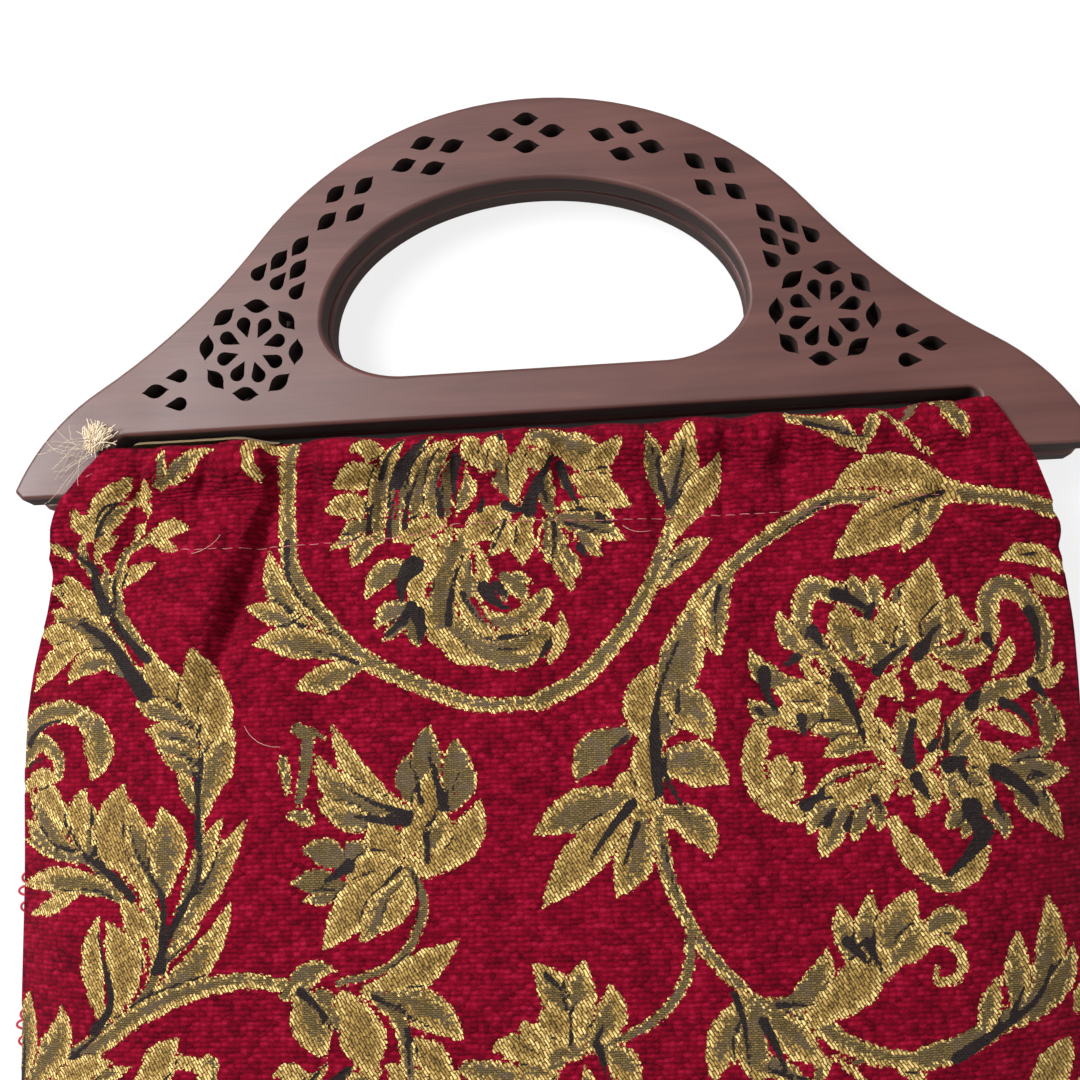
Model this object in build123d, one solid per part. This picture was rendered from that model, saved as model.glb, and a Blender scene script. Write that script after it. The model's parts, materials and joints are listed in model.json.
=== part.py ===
from build123d import *
import math
import os

# Tapestry handbag lying on its back. +X runs along the handles, +Y towards the top of the
# handles, +Z up out of the front of the bag. Millimetres and degrees.

# Wooden handle: an arched plate, heights measured from the axis of its rod
handle_width = 300.0
handle_thickness = 8.5
handle_edge_round = 1.2
arch_rise = 104.0
arch_radius = 100.0
arch_turn = 52.0
waist_inset = 24.0
waist_rise = 22.7
tip_drop = 6.0
foot_drop = 8.5
foot_round = 2.4
foot_width = 29.5
recess_rise = 8.5
recess_round = 3.0
grip_width = 121.0
grip_middle_rise = 39.0
grip_crown = 39.6
grip_floor_depth = 17.4
grip_floor_width = 73.0

# Fretwork cut through the handle plate
diamond_length = 8.2
diamond_width = 4.2
diamond_point_slope_share = 0.35
tear_head_radius = 2.05
tear_length = 6.5
rosette_grip_gap = 20.5
rosette_rise = 32.0
rosette_petal_radius = 8.2
rosette_diamond_radius = 13.2
rosette_petals = 8
rosette_turn = 16.0
trio_inset = 41.0
trio_rise = 21.3
trio_step = 7.3
trio_spread = 4.2
trio_turn = -5.0
wedge_reach = 79.3
wedge_rise = 54.8
wedge_rows = 3
wedge_row_step = 6.5
wedge_row_turn = 210.0
wedge_column_step = 7.4
wedge_column_turn = 148.0
wedge_tip_turn = 130.0
quad_inset = 11.3
quad_places = (0.0, 19.0, 37.0)
quad_turns = (0.0, 19.0, 43.0)
quad_reach = 7.5
quad_spread = 4.3

# Rod through the top hem of each panel, glued into both feet of its handle
rod_diameter = 5.0
rod_hole_clearance = 0.05
rod_hole_depth = 9.0
rod_end_gap = 0.3

# Cloth panels: turned over the rod, gathered, and sewn together at the sides and the bottom
cloth_thickness = 1.4
hem_ease = 0.25
hem_depth = 24.0
hem_gap = 0.3
hem_end_clearance = 0.6
hem_wrap_turn = 225.0
hem_puff_start_turn = 45.0
hem_dip = 1.2
hem_dip_depth = 10.0
swell_depth = 46.0
body_width = 286.0
body_depth = 265.0
body_corner = 16.0
body_lean = 5.0
shoulder_depth = 30.0
shoulder_width = 277.0
slit_depth = 80.0
mouth_gap = 7.5
seam_height = 7.2
seam_gap = 0.5
floor_ease = 0.1
belly_rise = 7.2
belly_depth = 145.0
gather_height = 2.2
gather_fade_depth = 170.0
casing_gather_height = 1.5
dip_gather_height = 0.5
fold_shares = (-1.0, -0.80, -0.60, -0.36, -0.14, 0.07, 0.26, 0.45, 0.63, 0.82, 1.0)
side_fullness = 6
floor_fullness = 8

# Sampling of the cloth surface
columns_per_gather = 4
wrap_steps = 10
dip_steps = 5
hem_steps = 3
swell_steps = 6
body_steps = 18
rim_steps = 4

# How the two handles lie on each other
handle_rest_clearance = 0.3
cut_overrun = 2.0

waist_reach = handle_width / 2 - waist_inset
trio_reach = handle_width / 2 - trio_inset
rosette_reach = grip_width / 2 + rosette_grip_gap
recess_width = handle_width - 2 * foot_width
hem_outer_radius = rod_diameter / 2 + hem_ease + cloth_thickness
hem_middle_radius = hem_outer_radius - cloth_thickness / 2
rod_spacing = mouth_gap + 2 * hem_outer_radius
back_rod_height = handle_thickness / 2
front_rod_height = back_rod_height + rod_spacing
handle_drop = rod_spacing - handle_thickness - handle_rest_clearance
front_tilt = math.degrees(math.asin(handle_drop / arch_rise))
rod_line = (body_depth - arch_rise) / 2


def side_turn(turn, side):
    """Direction on the right half, or its mirror on the left half."""
    return turn if side > 0 else 180 - turn


def handle_outline():
    """Half of the plate's outline from the top of the arch to the middle of the bar."""
    turn = math.radians(arch_turn)
    arch_end = (arch_radius * math.sin(turn), arch_rise - arch_radius * (1 - math.cos(turn)))
    waist = (waist_reach, waist_rise)
    tip = (handle_width / 2, -tip_drop)
    heel = (handle_width / 2 - foot_round, -foot_drop)
    toe = (recess_width / 2, -foot_drop)
    corner = (recess_width / 2, recess_rise)
    arch = TangentArc((0, arch_rise), arch_end, tangent=(1, 0))
    shoulder = TangentArc(arch_end, waist, tangent=arch % 1)
    foot_top = TangentArc(waist, tip, tangent=shoulder % 1)
    foot = Polyline(tip, heel, toe, corner, (0, recess_rise))
    return Curve() + [arch, shoulder, foot_top, foot]


def grip_hole():
    """Oval hand hole with a flat floor."""
    middle = (0, grip_middle_rise)
    floor_half = grip_floor_width / 2
    corner_reach = grip_width / 2 - floor_half
    floor_rise = grip_middle_rise - grip_floor_depth
    crown = EllipticalCenterArc(middle, grip_width / 2, grip_crown, 0, arc_size=180)
    left_middle = (-floor_half, grip_middle_rise)
    right_middle = (floor_half, grip_middle_rise)
    left = EllipticalCenterArc(left_middle, corner_reach, grip_floor_depth, 180, arc_size=90)
    right = EllipticalCenterArc(right_middle, corner_reach, grip_floor_depth, 270, arc_size=90)
    floor = Line((-floor_half, floor_rise), (floor_half, floor_rise))
    return make_face(Curve() + [crown, left, floor, right])


def diamond_hole():
    """Cut-out with a point at each end and round cheeks, long along X."""
    point = diamond_length / 2
    cheek = diamond_width / 2
    slope = diamond_point_slope_share
    rise = Spline((-point, 0), (0, cheek), tangents=[(1, slope), (1, 0)])
    fall = Spline((0, cheek), (point, 0), tangents=[(1, 0), (1, -slope)])
    upper = Curve() + [rise, fall]
    return make_face(upper + mirror(upper, about=Plane.XZ))


def tear_hole():
    """Cut-out with a round head at the origin and its point along +X."""
    point = tear_length - tear_head_radius
    tangent_turn = math.acos(tear_head_radius / point)
    touch_x = tear_head_radius * math.cos(tangent_turn)
    touch_y = tear_head_radius * math.sin(tangent_turn)
    head = ThreePointArc((touch_x, touch_y), (-tear_head_radius, 0), (touch_x, -touch_y))
    sides = Polyline((touch_x, -touch_y), (point, 0), (touch_x, touch_y))
    return make_face(Curve() + [head, sides])


def rosette():
    """Ring of petals with their points inward, and a wider ring of diamonds between them."""
    step = 360 / rosette_petals
    holes = []
    for petal in range(rosette_petals):
        turn = rosette_turn + petal * step
        holes.append(Rot(0, 0, turn) * Pos(rosette_petal_radius, 0) * Rot(0, 0, 180) * tear_hole())
        holes.append(Rot(0, 0, turn - step / 2) * Pos(rosette_diamond_radius, 0) * Rot(0, 0, 90) * diamond_hole())
    return holes


def foot_trio(side):
    """One diamond and two tears that point out along the foot."""
    holes = [Pos(side * trio_reach, trio_rise) * Rot(0, 0, side_turn(trio_turn, side)) * diamond_hole()]
    for across in (trio_spread, -trio_spread):
        place = Pos(side * (trio_reach - trio_step), trio_rise + across)
        holes.append(place * Rot(0, 0, side_turn(trio_turn, side)) * tear_hole())
    return holes


def wedge(side):
    """Triangle of holes above the rosette: a row of tears, then rows of diamonds."""
    row_way = Vector(wedge_row_step, 0).rotate(Axis.Z, wedge_row_turn)
    column_way = Vector(wedge_column_step, 0).rotate(Axis.Z, wedge_column_turn)
    holes = []
    for column in range(wedge_rows):
        for row in range(wedge_rows - column):
            place = Vector(wedge_reach, wedge_rise) + column * column_way + row * row_way
            hole = tear_hole() if column == 0 else diamond_hole()
            turned = Rot(0, 0, side_turn(wedge_tip_turn, side)) * hole
            holes.append(Pos(side * place.X, place.Y) * turned)
    return holes


def quad(place_turn, own_turn, side):
    """Four diamonds set as one large diamond along the arch."""
    place = Pos(0, arch_rise - arch_radius) * Rot(0, 0, -side * place_turn) * Pos(0, arch_radius - quad_inset)
    turned = place * Rot(0, 0, -side * (own_turn - place_turn))
    offsets = [(quad_reach, 0), (-quad_reach, 0), (0, quad_spread), (0, -quad_spread)]
    return [turned * Pos(*offset) * diamond_hole() for offset in offsets]


def fretwork():
    """All the holes that are sawn through one handle plate."""
    holes = quad(quad_places[0], quad_turns[0], 1)
    for side in (1, -1):
        for place_turn, own_turn in zip(quad_places[1:], quad_turns[1:]):
            holes += quad(place_turn, own_turn, side)
        holes += wedge(side) + foot_trio(side)
        holes += [Pos(side * rosette_reach, rosette_rise) * hole for hole in rosette()]
    return holes


def handle():
    """Handle plate about its rod's axis, flat in XY."""
    outline = handle_outline()
    plate = make_face(outline + mirror(outline, about=Plane.YZ))
    feet = plate.vertices().filter_by(lambda corner: corner.Y < 0)
    plate = fillet(feet, foot_round / 2)
    recess = plate.vertices().filter_by(lambda corner: corner.Y > 0)
    recess = recess.filter_by_position(Axis.Y, recess_rise, recess_rise)
    plate = fillet(recess, recess_round)
    board = extrude(plate - grip_hole(), handle_thickness / 2, both=True)
    faces = board.faces().filter_by(Axis.Z)
    board = fillet(faces.edges(), handle_edge_round)
    board -= extrude(Sketch() + fretwork(), handle_thickness / 2 + cut_overrun, both=True)
    for side in (1, -1):
        length = rod_hole_depth + cut_overrun
        middle = side * (recess_width / 2 + rod_hole_depth / 2 - cut_overrun / 2)
        radius = rod_diameter / 2 + rod_hole_clearance
        board -= Pos(middle, 0, 0) * Rot(0, 90, 0) * Cylinder(radius, length)
    return board


def rod():
    """Plain dowel that lies along X between the two feet."""
    length = recess_width + 2 * (rod_hole_depth - rod_end_gap)
    return Rot(0, 90, 0) * Cylinder(rod_diameter / 2, length)


def smooth_step(value, start, end):
    """Goes from 0 at start to 1 at end with level ends."""
    part = min(1, max(0, (value - start) / (end - start)))
    return part * part * (3 - 2 * part)


def half_width(depth):
    """Half the width of the cloth at a depth below the rod."""
    casing_half = recess_width / 2 - hem_end_clearance
    flare = smooth_step(depth, hem_dip_depth, shoulder_depth)
    width = casing_half + (shoulder_width / 2 - casing_half) * flare
    width += (body_width - shoulder_width) / 2 * smooth_step(depth, shoulder_depth, slit_depth)
    past_corner = max(0, depth - (body_depth - body_corner)) / body_corner
    return width - body_corner * (1 - math.sqrt(max(0, 1 - past_corner**2)))


def hem_path():
    """Points (depth, out, gather) from the hem's raw end, round the rod, to the dip below it."""
    path = []
    dip = -hem_dip
    inner = dip - cloth_thickness - hem_gap
    for step in range(hem_steps):
        share = step / hem_steps
        path.append((hem_depth * (1 - share), inner + (-hem_middle_radius - inner) * share, 0))
    for step in range(wrap_steps + 1):
        turn = hem_wrap_turn * step / wrap_steps
        height = casing_gather_height * smooth_step(turn, hem_puff_start_turn, 180)
        way = Vector(-hem_middle_radius, 0).rotate(Axis.Z, turn)
        path.append((way.Y, way.X, height))
    last_depth, last_out, last_height = path[-1]
    for step in range(1, dip_steps + 1):
        share = step / dip_steps
        depth = last_depth + (hem_dip_depth - last_depth) * share
        out = dip + (last_out - dip) * (1 - share) ** 2
        path.append((depth, out, last_height + (dip_gather_height - last_height) * share))
    return path


def gather(across_share):
    """0 on a fold line, 1 on the crest of the puff between two fold lines."""
    across_share = min(fold_shares[-1], max(fold_shares[0], across_share))
    for start, end in zip(fold_shares, fold_shares[1:]):
        if across_share <= end:
            return math.sin(math.pi * (across_share - start) / (end - start)) ** 2
    return 0


def column_shares():
    """Places across the cloth, evenly spaced within each gather."""
    shares = [fold_shares[0]]
    for start, end in zip(fold_shares, fold_shares[1:]):
        for step in range(1, columns_per_gather + 1):
            shares.append(start + (end - start) * step / columns_per_gather)
    return shares


def front_out(depth, across_share):
    """How far the middle of the front cloth stands out from the front rod's axis."""
    swell = smooth_step(depth, hem_depth, belly_depth)
    fall = smooth_step(depth, belly_depth, body_depth)
    seam_out = seam_height + cloth_thickness / 2 + seam_gap / 2 - front_rod_height
    middle = -hem_dip + (belly_rise + hem_dip) * swell
    middle += (seam_out - belly_rise) * fall**2
    edge = -hem_dip + (seam_out + hem_dip) * smooth_step(depth, hem_dip_depth, slit_depth)
    return edge + (middle - edge) * (1 - abs(across_share) ** side_fullness)


def back_out(depth, across_share):
    """How far the middle of the back cloth stands out from the back rod's axis."""
    floor_out = back_rod_height - cloth_thickness / 2 - floor_ease
    seam_out = back_rod_height - (seam_height - cloth_thickness / 2 - seam_gap / 2)
    lift = smooth_step(depth, body_depth - swell_depth, body_depth)
    middle = -hem_dip + (floor_out + hem_dip) * smooth_step(depth, hem_dip_depth, swell_depth)
    middle += (seam_out - floor_out) * lift**2
    edge = -hem_dip + (seam_out + hem_dip) * smooth_step(depth, hem_dip_depth, slit_depth)
    return middle + (edge - middle) * abs(across_share) ** floor_fullness


def cloth_grid(body_out, puffs_out):
    """Rows of points on the middle of one panel's cloth, from the hem's raw end to the bottom."""
    depths = [hem_dip_depth + (hem_depth - hem_dip_depth) * step / hem_steps for step in range(1, hem_steps)]
    depths += [hem_depth + (swell_depth - hem_depth) * step / swell_steps for step in range(swell_steps)]
    rim_depth = body_depth - body_corner
    depths += [swell_depth + (rim_depth - swell_depth) * step / body_steps for step in range(body_steps + 1)]
    rim_turns = [math.pi / 2 * step / rim_steps for step in range(1, rim_steps + 1)]
    depths += [rim_depth + body_corner * math.sin(turn) for turn in rim_turns]
    rows = []
    for depth, out, height in hem_path():
        rows.append([wrap_point(depth, out, height * puffs_out, share) for share in column_shares()])
    for depth in depths:
        rise = smooth_step(depth, hem_dip_depth, swell_depth)
        height = dip_gather_height + (gather_height - dip_gather_height) * rise
        height *= 1 - smooth_step(depth, swell_depth, gather_fade_depth)
        rows.append([sheet_point(depth, body_out, height, puffs_out, share) for share in column_shares()])
    return rows


def cloth_normal(rows, row, column):
    """Direction square to the cloth at one point of the grid."""
    above = rows[max(row - 1, 0)][column]
    below = rows[min(row + 1, len(rows) - 1)][column]
    left = rows[row][max(column - 1, 0)]
    right = rows[row][min(column + 1, len(rows[row]) - 1)]
    return (right - left).cross(below - above).normalized()


def skin(rows, offset):
    """Smooth faces at an offset from the middle of the cloth: hem, casing, body and bottom rim."""
    shares = column_shares()
    places = [(share - shares[0]) / (shares[-1] - shares[0]) for share in shares]
    sections = []
    for row, line in enumerate(rows):
        points = [point + cloth_normal(rows, row, column) * offset for column, point in enumerate(line)]
        sections.append(Wire([Edge.make_spline(points, parameters=places)]))
    last_row = len(rows) - 1
    joins = [0, hem_steps, hem_steps + wrap_steps + dip_steps, last_row - rim_steps, last_row]
    return [Shell.make_loft(sections[start : end + 1]).face() for start, end in zip(joins, joins[1:])]


def panel(body_out, puffs_out):
    """One panel about its rod's axis, with its outer side towards +Z."""
    rows = cloth_grid(body_out, puffs_out)
    outer = skin(rows, cloth_thickness / 2)
    inner = skin(rows, -cloth_thickness / 2)
    outer_edges = [edge for face in outer for edge in face.edges()]
    inner_edges = [edge for face in inner for edge in face.edges()]
    rims = []
    for edge in outer_edges:
        alike = [other for other in outer_edges if (other.center() - edge.center()).length < hem_gap]
        if len(alike) == 1:
            facing = min(inner_edges, key=lambda other: (other.center() - edge.center()).length)
            rims.append(Face.make_surface_from_curves(edge, facing))
    return Solid(Shell([*outer, *inner, *rims]))


def wrap_point(depth, out, height, across_share):
    """Point of the turned hem, puffed away from the rod."""
    reach = math.hypot(depth, out)
    puffed = 1 + height * gather(across_share) / reach
    return Vector(across_share * half_width(depth), -depth * puffed, out * puffed)


def sheet_point(depth, body_out, height, puffs_out, across_share):
    """Point of the hanging cloth. Where puffs can't go out, the folds go in instead."""
    puff = gather(across_share) if puffs_out else gather(across_share) - 1
    puff *= 1 - abs(across_share) ** side_fullness
    out = body_out(depth, across_share) + height * puff
    lean = -body_lean * smooth_step(depth, hem_dip_depth, slit_depth)
    return Vector(across_share * half_width(depth) + lean, -depth, out)


front_place = Pos(0, rod_line, front_rod_height)
back_place = Pos(0, rod_line, back_rod_height)
plate = handle()
dowel = rod()

pieces = {
    "front_handle": front_place * Rot(-front_tilt, 0, 0) * plate,
    "back_handle": back_place * plate,
    "front_rod": front_place * dowel,
    "back_rod": back_place * dowel,
    "front_panel": front_place * panel(front_out, 1),
    "back_panel": back_place * mirror(panel(back_out, 0), about=Plane.XY),
}

os.makedirs("parts", exist_ok=True)
for name, piece in pieces.items():
    export_step(piece, f"parts/{name}.step")
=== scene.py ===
import bpy
import json
import math
import numpy as np
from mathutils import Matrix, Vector, noise
from mathutils.bvhtree import BVHTree


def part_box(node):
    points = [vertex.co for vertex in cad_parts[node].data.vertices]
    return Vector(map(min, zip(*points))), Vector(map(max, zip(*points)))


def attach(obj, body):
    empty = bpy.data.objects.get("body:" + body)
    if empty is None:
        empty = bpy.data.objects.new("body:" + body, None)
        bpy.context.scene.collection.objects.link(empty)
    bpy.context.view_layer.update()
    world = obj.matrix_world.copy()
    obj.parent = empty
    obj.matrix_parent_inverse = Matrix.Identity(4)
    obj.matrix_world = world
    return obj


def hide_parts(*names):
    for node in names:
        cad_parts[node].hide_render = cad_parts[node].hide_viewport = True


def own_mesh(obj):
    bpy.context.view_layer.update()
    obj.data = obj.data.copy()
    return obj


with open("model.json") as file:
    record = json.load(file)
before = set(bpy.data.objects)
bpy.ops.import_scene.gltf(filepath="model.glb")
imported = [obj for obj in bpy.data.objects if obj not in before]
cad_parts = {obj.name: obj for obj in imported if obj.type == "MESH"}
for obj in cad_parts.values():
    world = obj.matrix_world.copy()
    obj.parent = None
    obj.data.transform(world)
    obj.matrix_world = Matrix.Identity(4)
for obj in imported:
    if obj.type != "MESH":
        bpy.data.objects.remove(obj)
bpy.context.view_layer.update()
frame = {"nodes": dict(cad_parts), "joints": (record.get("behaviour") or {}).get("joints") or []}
bpy.ops.object.select_all(action="DESELECT")
scene = bpy.context.scene
scene.view_settings.view_transform = "Standard"

# Camera: straight above the bag as it lies on its back, tilted a little, so that the whole
# handle fills the width of the picture and the bottom of the bag runs out of it.
camera_place = (0.03057, 0.00844, 0.37567)
camera_turn_deg = (7.06, 5.254, -2.249)
bpy.ops.object.camera_add(location=camera_place, rotation=[math.radians(turn) for turn in camera_turn_deg])
camera = bpy.context.object
camera.name = "camera"
camera.data.sensor_width = 36.0
camera.data.lens = 43.333
camera.data.clip_start = 0.01
scene.camera = camera

# Floor: a wide plain white sheet under the bag. Camera and glossy rays see it mostly as plain
# white, and it still takes a faint shadow from the bag.
floor_size = 6.0
floor_drop = 0.0003
bpy.ops.mesh.primitive_plane_add(size=floor_size, location=(0, 0, -floor_drop))
floor = bpy.context.object
floor.name = "floor"
bpy.ops.object.transform_apply(location=True, rotation=True, scale=True)


def new_material(name):
    """A new material, with its node tree as the one in hand."""
    global nodes, links
    material = bpy.data.materials.new(name)
    material.use_nodes = True
    nodes, links = material.node_tree.nodes, material.node_tree.links
    return material


floor_paint = new_material("floor_white")
floor_shader = nodes["Principled BSDF"]
floor_shader.inputs["Base Color"].default_value = (0.92, 0.92, 0.92, 1)
floor_shader.inputs["Roughness"].default_value = 0.9
floor_glow = nodes.new("ShaderNodeEmission")
floor_glow.inputs["Strength"].default_value = 1.0
rays = nodes.new("ShaderNodeLightPath")
seen = nodes.new("ShaderNodeMath")
seen.operation = "MAXIMUM"
links.new(rays.outputs["Is Camera Ray"], seen.inputs[0])
links.new(rays.outputs["Is Glossy Ray"], seen.inputs[1])
seen_share = nodes.new("ShaderNodeMath")
seen_share.operation = "MULTIPLY"
seen_share.inputs[1].default_value = 0.8
links.new(seen.outputs[0], seen_share.inputs[0])
floor_mix = nodes.new("ShaderNodeMixShader")
links.new(seen_share.outputs[0], floor_mix.inputs[0])
links.new(floor_shader.outputs[0], floor_mix.inputs[1])
links.new(floor_glow.outputs[0], floor_mix.inputs[2])
links.new(floor_mix.outputs[0], nodes["Material Output"].inputs["Surface"])
floor.data.materials.append(floor_paint)

# Light: a dim white room, one large soft window to the left of the bag's top, and a weak
# fill from the right.
world = bpy.data.worlds.new("room")
scene.world = world
world.use_nodes = True
world.node_tree.nodes["Background"].inputs["Color"].default_value = (1.0, 0.98, 0.96, 1)
nodes, links = world.node_tree.nodes, world.node_tree.links
room_strength = 0.27
room_rays = nodes.new("ShaderNodeLightPath")
room_seen = nodes.new("ShaderNodeMapRange")
room_seen.inputs["To Min"].default_value = room_strength
room_seen.inputs["To Max"].default_value = 1.0
links.new(room_rays.outputs["Is Camera Ray"], room_seen.inputs["Value"])
links.new(room_seen.outputs["Result"], nodes["Background"].inputs["Strength"])


def soft_lamp(name, place, aim, size, power):
    """A square area lamp that faces a point."""
    lamp_data = bpy.data.lights.new(name, "AREA")
    lamp_data.size = size
    lamp_data.energy = power
    lamp = bpy.data.objects.new(name, lamp_data)
    scene.collection.objects.link(lamp)
    lamp.location = place
    lamp.rotation_euler = (Vector(aim) - Vector(place)).to_track_quat("-Z", "Y").to_euler()


soft_lamp("window", (-0.66, 0.44, 1.02), (-0.03, 0.03, 0), 0.5, 21.5)
soft_lamp("fill", (0.75, -0.35, 1.0), (0, 0, 0), 0.9, 3.5)

# Handles: two alike plates of dark stained hardwood, sawn from flat boards with the grain along X
# and finished with a thin satin oil whose tone and sheen vary a little at random. The fretwork is cut
# right through, and its sawn walls are darker than the faces.
grain = bpy.data.node_groups.new("wood_grain", "ShaderNodeTree")
grain.interface.new_socket("Streak Count", in_out="INPUT", socket_type="NodeSocketFloat")
grain.interface.new_socket("Dark", in_out="INPUT", socket_type="NodeSocketColor")
grain.interface.new_socket("Light", in_out="INPUT", socket_type="NodeSocketColor")
grain.interface.new_socket("Color", in_out="OUTPUT", socket_type="NodeSocketColor")
grain.interface.new_socket("Pores", in_out="OUTPUT", socket_type="NodeSocketFloat")
nodes, links = grain.nodes, grain.links


def wire(value, socket):
    """Links a socket, or sets it where a plain value is given."""
    if isinstance(value, bpy.types.NodeSocket):
        links.new(value, socket)
    else:
        socket.default_value = value


def calc(operation, first, second=0.0, third=0.0):
    node = nodes.new("ShaderNodeMath")
    node.operation = operation
    for socket, value in zip(node.inputs, (first, second, third)):
        wire(value, socket)
    return node.outputs[0]


def between(value, low, high, low_result=0.0, high_result=1.0):
    node = nodes.new("ShaderNodeMapRange")
    for socket, number in (("From Min", low), ("From Max", high)):
        node.inputs[socket].default_value = number
    for socket, number in (("To Min", low_result), ("To Max", high_result)):
        node.inputs[socket].default_value = number
    wire(value, node.inputs["Value"])
    return node.outputs["Result"]


def mixed(factor, first, second, kind="RGBA"):
    node = nodes.new("ShaderNodeMix")
    node.data_type = kind
    for socket, value in (("Factor", factor), ("A", first), ("B", second)):
        wire(value, node.inputs[socket])
    return node.outputs["Result"]


def turned(vector, angle, scale):
    node = nodes.new("ShaderNodeMapping")
    node.inputs["Rotation"].default_value = (0, 0, math.radians(angle))
    node.inputs["Scale"].default_value = scale
    links.new(vector, node.inputs["Vector"])
    return node.outputs["Vector"]


def speckle(vector, scale, detail):
    node = nodes.new("ShaderNodeTexNoise")
    node.inputs["Scale"].default_value = scale
    node.inputs["Detail"].default_value = detail
    links.new(vector, node.inputs["Vector"])
    return node.outputs["Fac"]


grain_in = nodes.new("NodeGroupInput")
grain_out = nodes.new("NodeGroupOutput")
board_place = nodes.new("ShaderNodeTexCoord").outputs["Object"]
streak_stretch = (9.0, 130.0, 130.0)
pore_stretch = (120.0, 2200.0, 2200.0)
streaks = nodes.new("ShaderNodeTexNoise")
streaks.inputs["Detail"].default_value = 6.0
streaks.inputs["Roughness"].default_value = 0.62
streaks.inputs["Distortion"].default_value = 0.35
links.new(turned(board_place, 0, streak_stretch), streaks.inputs["Vector"])
links.new(grain_in.outputs["Streak Count"], streaks.inputs["Scale"])
streak_share = between(streaks.outputs["Fac"], 0.32, 0.72)
streak_color = mixed(streak_share, grain_in.outputs["Dark"], grain_in.outputs["Light"])
links.new(streak_color, grain_out.inputs["Color"])
links.new(speckle(turned(board_place, 0, pore_stretch), 1.0, 3.0), grain_out.inputs["Pores"])

handle_wood = new_material("handle_wood")
handle_shader = nodes["Principled BSDF"]
handle_grain = nodes.new("ShaderNodeGroup")
handle_grain.node_tree = grain
handle_grain.inputs["Streak Count"].default_value = 1.0
handle_grain.inputs["Dark"].default_value = (0.076, 0.027, 0.023, 1)
handle_grain.inputs["Light"].default_value = (0.132, 0.050, 0.042, 1)
handle_place = nodes.new("ShaderNodeTexCoord")
handle_tone = speckle(handle_place.outputs["Object"], 16.0, 3.0)
handle_shift = nodes.new("ShaderNodeHueSaturation")
links.new(between(handle_tone, 0.3, 0.7, 0.85, 1.18), handle_shift.inputs["Value"])
links.new(handle_grain.outputs["Color"], handle_shift.inputs["Color"])
facing = nodes.new("ShaderNodeSeparateXYZ")
links.new(handle_place.outputs["Normal"], facing.inputs["Vector"])
sawn_wall = between(calc("ABSOLUTE", facing.outputs["Z"]), 0.55, 0.15)
wall_brown, wall_roughness = (0.030, 0.014, 0.011, 1), 0.95
links.new(mixed(sawn_wall, handle_shift.outputs["Color"], wall_brown), handle_shader.inputs["Base Color"])
face_roughness = between(handle_tone, 0.3, 0.7, 0.42, 0.58)
links.new(mixed(sawn_wall, face_roughness, wall_roughness, "FLOAT"), handle_shader.inputs["Roughness"])
handle_bump = nodes.new("ShaderNodeBump")
handle_bump.inputs["Strength"].default_value = 0.12
handle_bump.inputs["Distance"].default_value = 0.0004
links.new(handle_grain.outputs["Pores"], handle_bump.inputs["Height"])
links.new(handle_bump.outputs["Normal"], handle_shader.inputs["Normal"])
for name in ("front_handle", "back_handle"):
    plate = frame["nodes"][name]
    plate.data.materials.clear()
    plate.data.materials.append(handle_wood)

# Rods: plain turned dowels of pale wood inside the hems, glued into the handles' feet.
rod_wood = new_material("rod_wood")
rod_grain = nodes.new("ShaderNodeGroup")
rod_grain.node_tree = grain
rod_grain.inputs["Streak Count"].default_value = 1.6
rod_grain.inputs["Dark"].default_value = (0.26, 0.16, 0.08, 1)
rod_grain.inputs["Light"].default_value = (0.46, 0.32, 0.17, 1)
links.new(rod_grain.outputs["Color"], nodes["Principled BSDF"].inputs["Base Color"])
nodes["Principled BSDF"].inputs["Roughness"].default_value = 0.6
for name in ("front_rod", "back_rod"):
    dowel = frame["nodes"][name]
    dowel.data.materials.clear()
    dowel.data.materials.append(rod_wood)

# Front panel: one piece of heavy chenille tapestry, crimson pile with a woven scroll of gold,
# olive and charcoal. Its top is turned over the rod and stitched down as a casing, which
# gathers the cloth, and its sides and bottom are sewn to the back panel.

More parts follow.
